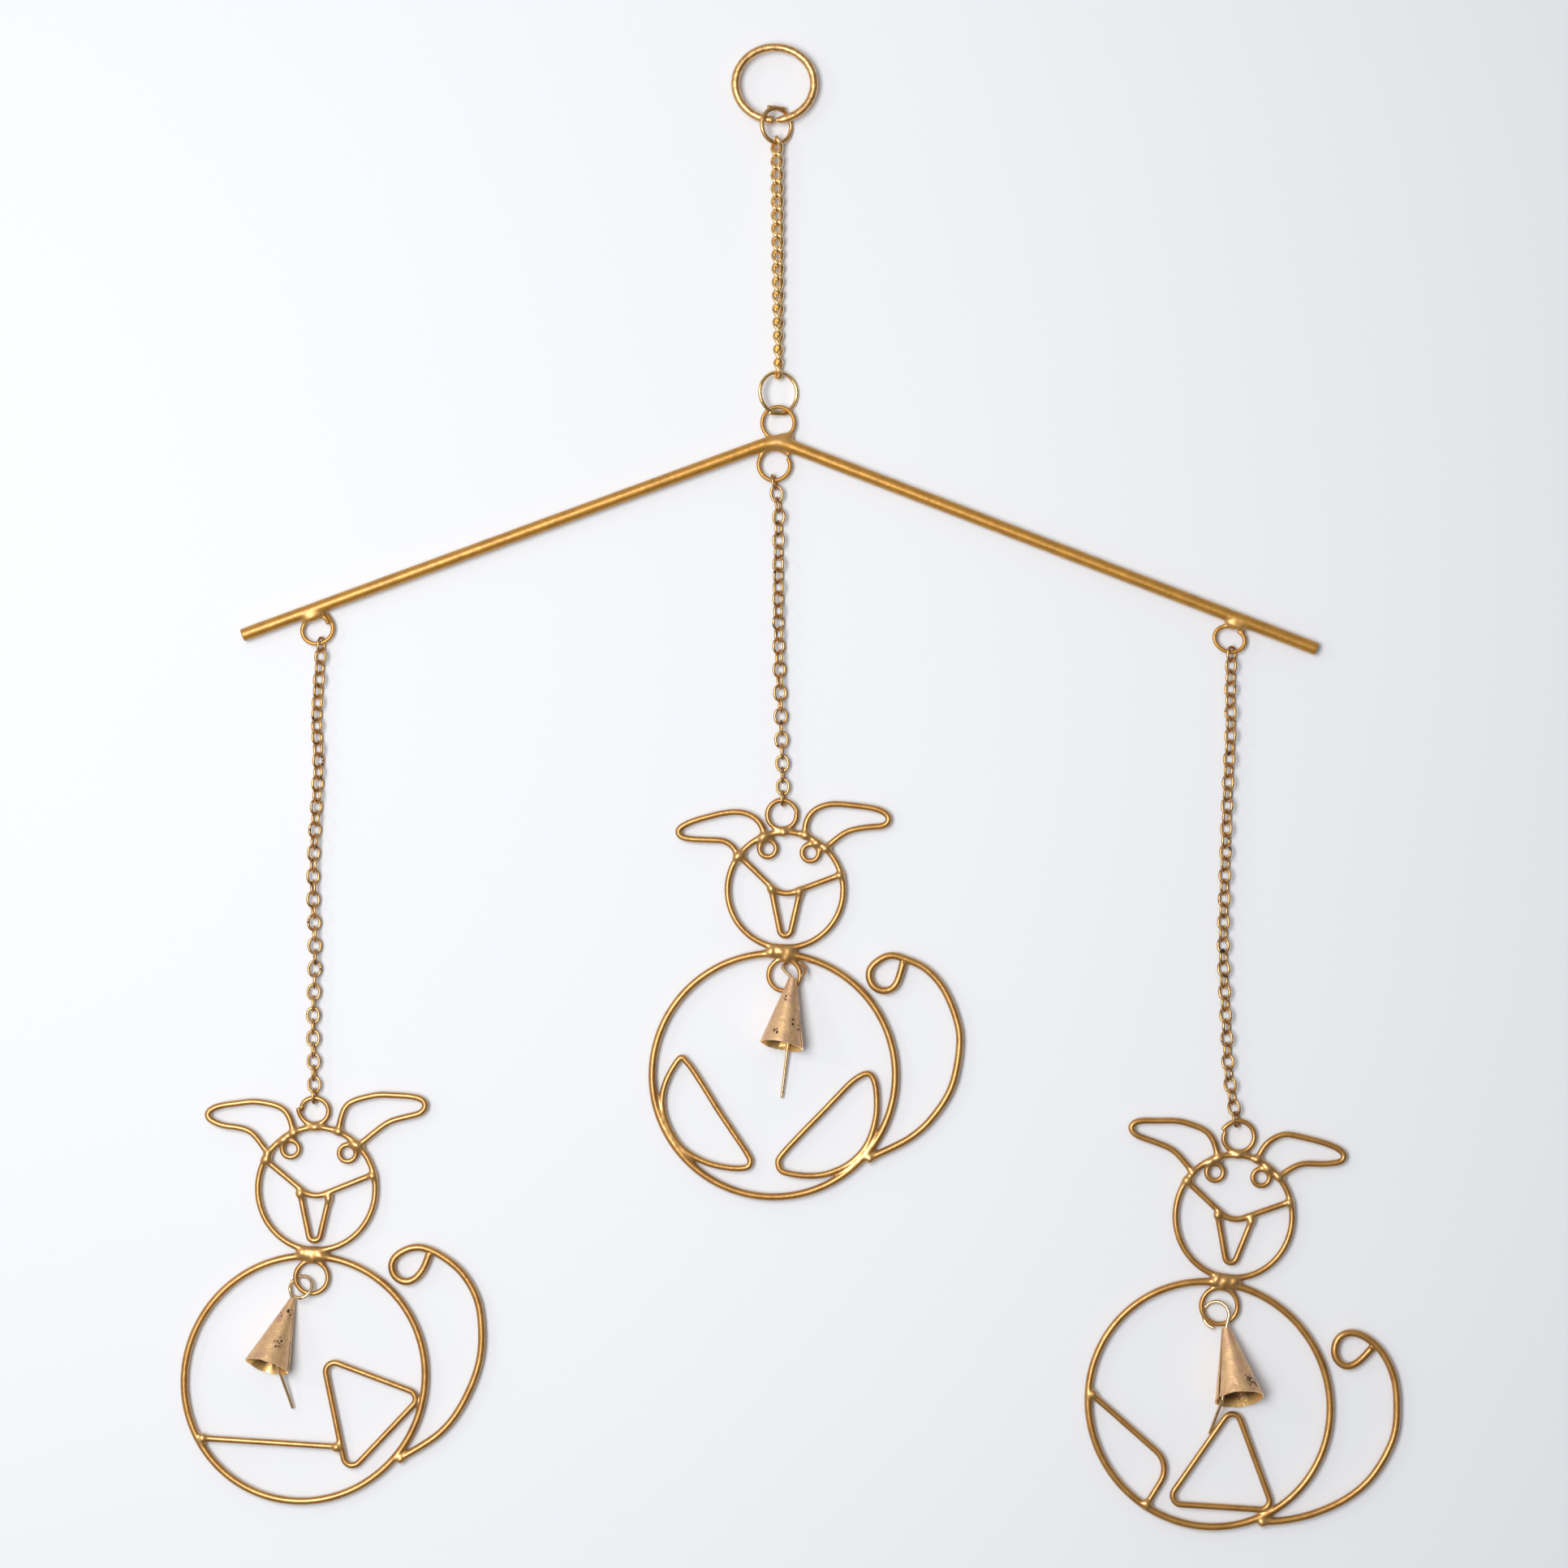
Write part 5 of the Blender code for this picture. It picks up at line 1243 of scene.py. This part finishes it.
class CHIME_OT_stage(bpy.types.Operator):
    """Make the pale board, the soft lights and the camera"""

    bl_idname = "chime.stage"
    bl_label = "Stage"

    def execute(self, context):
        """Set the scene round the chime."""
        self.make_board(context)
        self.make_room(context)
        for name, (place, size, power) in LAMPS.items():
            lamp = bpy.data.lights.new(name, "AREA")
            lamp.shape = "RECTANGLE"
            lamp.size, lamp.size_y = size[0] * MM, size[1] * MM
            lamp.energy, lamp.color = power, LAMP_TINT
            at = Vector(place) * MM
            turn = (Vector((0.0, 0.0, STAGE_MIDDLE)) * MM - at).to_track_quat("-Z", "Y")
            placed(name, lamp).matrix_world = Matrix.Translation(at) @ turn.to_matrix().to_4x4()
        camera = bpy.data.cameras.new("camera")
        camera.lens, camera.sensor_width = CAMERA_LENS, CAMERA_SENSOR
        camera.clip_start, camera.clip_end = CAMERA_RANGE
        context.scene.camera = placed("camera", camera)
        at = Matrix.Translation([part * MM for part in CAMERA_AT])
        context.scene.camera.matrix_world = at @ Matrix.Rotation(0.5 * math.pi, 4, "X")
        context.scene.view_settings.view_transform = "Standard"
        return {"FINISHED"}

    def make_board(self, context):
        """A flat board, clear from behind so that the chime's back can be seen."""
        finishes = context.scene.chime_finishes
        ways = ((-1, -1), (1, -1), (1, 1), (-1, 1))
        corners = [(x * BOARD_REACH, BACKDROP_DEPTH, STAGE_MIDDLE + z * BOARD_REACH) for x, z in ways]
        mesh = bpy.data.meshes.new("backdrop")
        mesh.from_pydata((np.array(corners) * MM).tolist(), [], [(0, 1, 2, 3)])
        board = placed("backdrop", mesh)
        paper = bpy.data.materials.new("pale_board")
        paper.use_nodes = True
        tree = paper.node_tree
        shader = tree.nodes["Principled BSDF"]
        cloud = noise(tree, node(tree, "ShaderNodeTexCoord").outputs["Object"], 3.0, 2.0)["Fac"]
        shade = rgba([BOARD_SHADE * part for part in finishes.paper])
        feed(tree, shader.inputs["Base Color"], mixed(tree, cloud, rgba(finishes.paper), shade))
        feed(tree, shader.inputs["Roughness"], BOARD_ROUGH)
        feed(tree, shader.inputs["Specular IOR Level"], BOARD_SHINE)
        clear = node(tree, "ShaderNodeBsdfTransparent").outputs[0]
        behind = node(tree, "ShaderNodeNewGeometry").outputs["Backfacing"]
        cover = node(tree, "ShaderNodeMixShader", {0: behind, 1: shader.outputs[0], 2: clear})
        feed(tree, tree.nodes["Material Output"].inputs["Surface"], cover.outputs[0])
        mesh.materials.append(paper)

    def make_room(self, context):
        """A room that is bright on the upper left and dark on the lower right."""
        finishes = context.scene.chime_finishes
        world = bpy.data.worlds.new("studio")
        world.use_nodes = True
        tree = world.node_tree
        way = node(tree, "ShaderNodeTexCoord").outputs["Generated"]
        facing = node(tree, "ShaderNodeVectorMath", {0: way, 1: ROOM_BRIGHT_WAY}, operation="DOT_PRODUCT")
        share = fitted(tree, facing.outputs["Value"], -1.0, 1.0)
        tint = mixed(tree, share, rgba(finishes.room_dark), rgba(finishes.room_bright))
        feed(tree, tree.nodes["Background"].inputs["Color"], tint)
        context.scene.world = world


class CHIME_OT_hanging_ring(bpy.types.Operator):
    """Make the big hammered ring"""

    bl_idname = "chime.hanging_ring"
    bl_label = "Hanging ring"

    def execute(self, context):
        """Carry a hammered section round the open ring, one end of which is pointed and one blunt."""
        wires = context.scene.chime_wires
        gap = math.degrees(0.5 * HANG_GAP / HANG_OVAL[1])
        path = stood(oval_path(plan(wires)["hang"], HANG_OVAL, -90.0 + gap, 360.0 - 2 * gap - 0.01, 260))
        skin = wire_skin(path, mm(wires.hang), sides=HANG_SIDES)
        points = skin.reshape(-1, 3)
        blows = sum(share * ripple(points, wave, HAMMER_SEED + i)
                    for i, (wave, share) in enumerate(HAMMER_BLOWS))
        middle = np.concatenate((path[:1], path, path[-1:]))[:, None]
        order = np.arange(len(middle))
        pointed, blunt = (least + (1.0 - least) * np.sin(0.5 * math.pi * ramp(at, 0.0, full))
                          for (least, full), at in ((POINTED_END, order), (BLUNT_END, order[::-1])))
        width = (pointed * blunt)[:, None] + HAMMER_DEPTH * (blows.reshape(skin.shape[:2]) - 0.5)
        mesh = mesh_of(*net(middle + (skin - middle) * width[..., None]))
        finished(context, "hammered_hanging_ring", mesh, "hanging_ring", "hammered_plate")
        return {"FINISHED"}


class CHIME_OT_jump_rings(bpy.types.Operator):
    """Make both jump rings with their flattened tails"""

    bl_idname = "chime.jump_rings"
    bl_label = "Jump rings"

    def execute(self, context):
        """Melt each ring and its tail into one skin."""
        wires = context.scene.chime_wires
        spots = plan(wires)
        for name, spot, oval, turn, depth, side, finish in (
            ("top_jump_ring", "top_jump", TOP_JUMP_OVAL, TOP_JUMP_TURN, 0.0, 1.0, "hammered_plate"),
            ("lower_jump_ring", "low_jump", LOW_JUMP_OVAL, LOW_JUMP_TURN, BAR_DEPTH, -1.0, "polished_plate"),
        ):
            x, z = spots[spot]
            gauge = mm(getattr(wires, spot))
            tip = oval[1] + 0.5 * (gauge - TAB_WIDTH) + TAB_RISE
            share = np.linspace(-1.0, 1.0, 24)
            tail = np.stack((x + TAB_SHIFT + 0.5 * TAB_LENGTH * share, np.full(24, z + side * tip)), axis=1)
            ring = stood(even(oval_path((x, z), oval), JUMP_STEP, True), depth, (x, z), 90.0, turn)
            tab = stood(tail, depth, (x, z), 90.0, turn)
            # The side that reaches back rests on the board
            room = BACKDROP_DEPTH - 0.5 * gauge - RING_PLAY - depth
            most = (ring[:, 1] - depth).max()
            if most > room:
                for path in (ring, tab):
                    behind = path[:, 1] > depth
                    path[behind, 1] = depth + (path[behind, 1] - depth) * room / most
            lines = [(ring, gauge, True), (tab, TAB_WIDTH * np.interp(share, *TAB_TAPER), False)]
            mesh = welded(lines, [], JUMP_MELT, JUMP_GRAIN, (tab[0], tab[-1]), JUMP_SEED)
            finished(context, f"plated_{name}", mesh, name, finish)
        return {"FINISHED"}


class CHIME_OT_twisted_chain(bpy.types.Operator):
    """Make the twisted suspension chain"""

    bl_idname = "chime.twisted_chain"
    bl_label = "Twisted chain"

    def execute(self, context):
        """Set seventeen twisted links below each other."""
        wires = context.scene.chime_wires
        gauge = mm(wires.curb)
        half = 0.5 * (CURB_INSIDE + BITE + gauge)
        skin = link_skin(CURB_SWELL * gauge, CURB_HALF_WIDTH, half, CURB_TWIST, 64, 14)
        turns = CURB_TURN + CURB_DRIFT * np.arange(CURB_LINKS) / (CURB_LINKS - 1)
        mesh = chain_mesh(skin, plan(wires)["curb"], turns)
        finished(context, "twisted_suspension_chain", mesh, "suspension_chain",
                 "polished_plate")
        return {"FINISHED"}


class CHIME_OT_crossbar(bpy.types.Operator):
    """Make the bent rod with its four welded rings"""

    bl_idname = "chime.crossbar"
    bl_label = "Crossbar"

    def execute(self, context):
        """Melt the rod, the rings and their beads into one skin."""
        wires = context.scene.chime_wires
        spots = plan(wires)
        corner, apex, rod = spots["corner"], spots["apex"], mm(wires.rod)
        arms = [corner + bar_point(-1, LEFT_ARM), apex, corner + bar_point(1, RIGHT_ARM)]
        line = stood(even(bent(arms, ROD_BEND_RADIUS, steps=24), 1.0), BAR_DEPTH)
        crown = oval_path(spots["crown"], (CROWN_RING_RADIUS, CROWN_RING_RADIUS, 0.0))
        crown = stood(even(crown, RING_STEP, True), BAR_DEPTH)
        lines = [(line, rod, False), (crown, mm(wires.crown_ring), True)]
        ends = [line[0], line[-1]]
        for name, (centre, oval, gauge) in spots["rings"].items():
            ring = cut_ring(centre, oval, BAR_DEPTH, *RING_CUTS[name])
            lines.append((ring, gauge, False))
            ends += [ring[0], ring[-1]]
        bead = apex + (0.0, 0.5 * rod) + CROWN_WELD_AT
        beads = [((bead[0], BAR_DEPTH, bead[1]), CROWN_WELD, CROWN_WELD_LEAN)]
        beads += [((x, BAR_DEPTH - END_WELD_FORWARD, z), END_WELD, slope)
                  for (x, z), slope in spots["end_welds"]]
        mesh = welded(lines, beads, BAR_MELT * mm(wires.melt), mm(wires.grain), ends, BAR_SEED, BAR_LUMP)
        finished(context, "painted_crossbar", mesh, "crossbar", "bar_paint")
        return {"FINISHED"}


class CHIME_OT_cable_chains(bpy.types.Operator):
    """Make the three fine cable chains"""

    bl_idname = "chime.cable_chains"
    bl_label = "Cable chains"

    def execute(self, context):
        """Set every second link across the one above."""
        wires = context.scene.chime_wires
        spots = plan(wires)
        gauge = mm(wires.link)
        for name, cat in CATS.items():
            skin = link_skin(gauge, LINK_HALF_WIDTH, 0.5 * (cat["link_inside"] + BITE + gauge), 0.0, 24, 8)
            order = np.arange(cat["links"])
            turns = cat["first_turn"] + 90.0 * order + cat["drift"] * order / (cat["links"] - 1)
            mesh = chain_mesh(skin, spots[name]["tips"], turns)
            finished(context, f"{name}_cable_chain", mesh, f"{name}_chain", "link_bronze")
        return {"FINISHED"}


class CHIME_OT_cats(bpy.types.Operator):
    """Make the three welded cats"""

    bl_idname = "chime.cats"
    bl_label = "Cats"

    def execute(self, context):
        """Melt each cat's wires into one skin."""
        wires = context.scene.chime_wires
        spots = plan(wires)
        grain = mm(wires.grain) * 1.0
        for order, (name, cat) in enumerate(CATS.items()):
            lines, beads, ends = cat_wires(cat, spots[name], wires)
            mesh = welded(lines, beads, mm(wires.melt), grain, ends, CAT_SEED + 3 * order)
            finished(context, f"{name}_wire_cat", mesh, f"{name}_cat", "cat_paint")
        return {"FINISHED"}


class CHIME_OT_bells(bpy.types.Operator):
    """Make the three bells of rolled sheet"""

    bl_idname = "chime.bells"
    bl_label = "Bells"

    def execute(self, context):
        """Roll each sheet and give it its thickness."""
        wires = context.scene.chime_wires
        spots = plan(wires)
        for order, (name, cat) in enumerate(CATS.items()):
            points, shape, down, pitted = bell_sheet(cat, spots[name]["bell"], BELL_SEED + order)
            thing = placed("sheet", mesh_of(points, sheet_faces(shape)))
            wall = thing.modifiers.new("wall", "SOLIDIFY")
            wall.thickness, wall.offset, wall.use_even_offset = wires.sheet, -1.0, True
            mesh = settled(thing)
            # The outer face comes first, then the inner face in the same order
            outside, count = len(points), len(mesh.vertices)
            inner, shade, pits = np.zeros((3, count))
            inner[outside:] = 1.0
            # The shade is painted: the inner face turns dark a share of the depth in from the mouth
            shade[outside:] = ramp(PAINTED_SHADE_DEPTH - np.resize(down, count - outside), 0.0, PAINTED_SHADE_EASE)
            pits[:outside] = pitted
            for key, values in (("inner", inner), ("shade", shade), ("pitted", pits)):
                carry(mesh, key, values)
            finished(context, f"{name}_rolled_bell", mesh, f"{name}_bell", "rolled_brass")
            mesh.set_sharp_from_angle(angle=math.radians(SHARP_ANGLE))
        return {"FINISHED"}


class CHIME_OT_bell_wires(bpy.types.Operator):
    """Make the wires that hold the bells, and the clappers"""

    bl_idname = "chime.bell_wires"
    bl_label = "Bell wires and clappers"

    def execute(self, context):
        """Carry a round section along each wire."""
        wires = context.scene.chime_wires
        spots = plan(wires)
        for name, cat in CATS.items():
            hanger, clapper = hanger_path(cat, spots[name]), clapper_path(cat, spots[name], wires)
            for kind, path, gauge in (("bell_wire", hanger, wires.hanger),
                                      ("clapper", clapper, wires.clapper)):
                mesh = mesh_of(*net(wire_skin(path, mm(gauge), sides=12)))
                finished(context, f"{name}_brass_{kind}", mesh, f"{name}_{kind}",
                         "drawn_brass")
        return {"FINISHED"}


class CHIME_PT_panel(bpy.types.Panel):
    """Lists the chime's pieces, sizes and colours"""

    bl_idname = "CHIME_PT_panel"
    bl_label = "Wind chime"
    bl_space_type = "VIEW_3D"
    bl_region_type = "UI"
    bl_category = "Chime"

    def draw(self, context):
        """Show a button for each piece, then the sizes and colours."""
        for operator in OPERATORS:
            self.layout.operator(operator.bl_idname)
        for values in (context.scene.chime_wires, context.scene.chime_finishes):
            box = self.layout.box()
            for key in values.__annotations__:
                box.prop(values, key)


OPERATORS = (
    CHIME_OT_stage,
    CHIME_OT_hanging_ring,
    CHIME_OT_jump_rings,
    CHIME_OT_twisted_chain,
    CHIME_OT_crossbar,
    CHIME_OT_cable_chains,
    CHIME_OT_cats,
    CHIME_OT_bells,
    CHIME_OT_bell_wires,
)
CLASSES = (ChimeWires, ChimeFinishes, *OPERATORS, CHIME_PT_panel)


def register():
    """Register the classes and hang the values on the scene."""
    for item in CLASSES:
        bpy.utils.register_class(item)
    bpy.types.Scene.chime_wires = bpy.props.PointerProperty(type=ChimeWires)
    bpy.types.Scene.chime_finishes = bpy.props.PointerProperty(type=ChimeFinishes)


def unregister():
    """Take away what register adds."""
    del bpy.types.Scene.chime_finishes
    del bpy.types.Scene.chime_wires
    for item in reversed(CLASSES):
        bpy.utils.unregister_class(item)


def main():
    """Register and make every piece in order."""
    register()
    for operator in OPERATORS:
        getattr(bpy.ops.chime, operator.bl_idname.split(".")[1])()


if __name__ == "__main__":
    main()
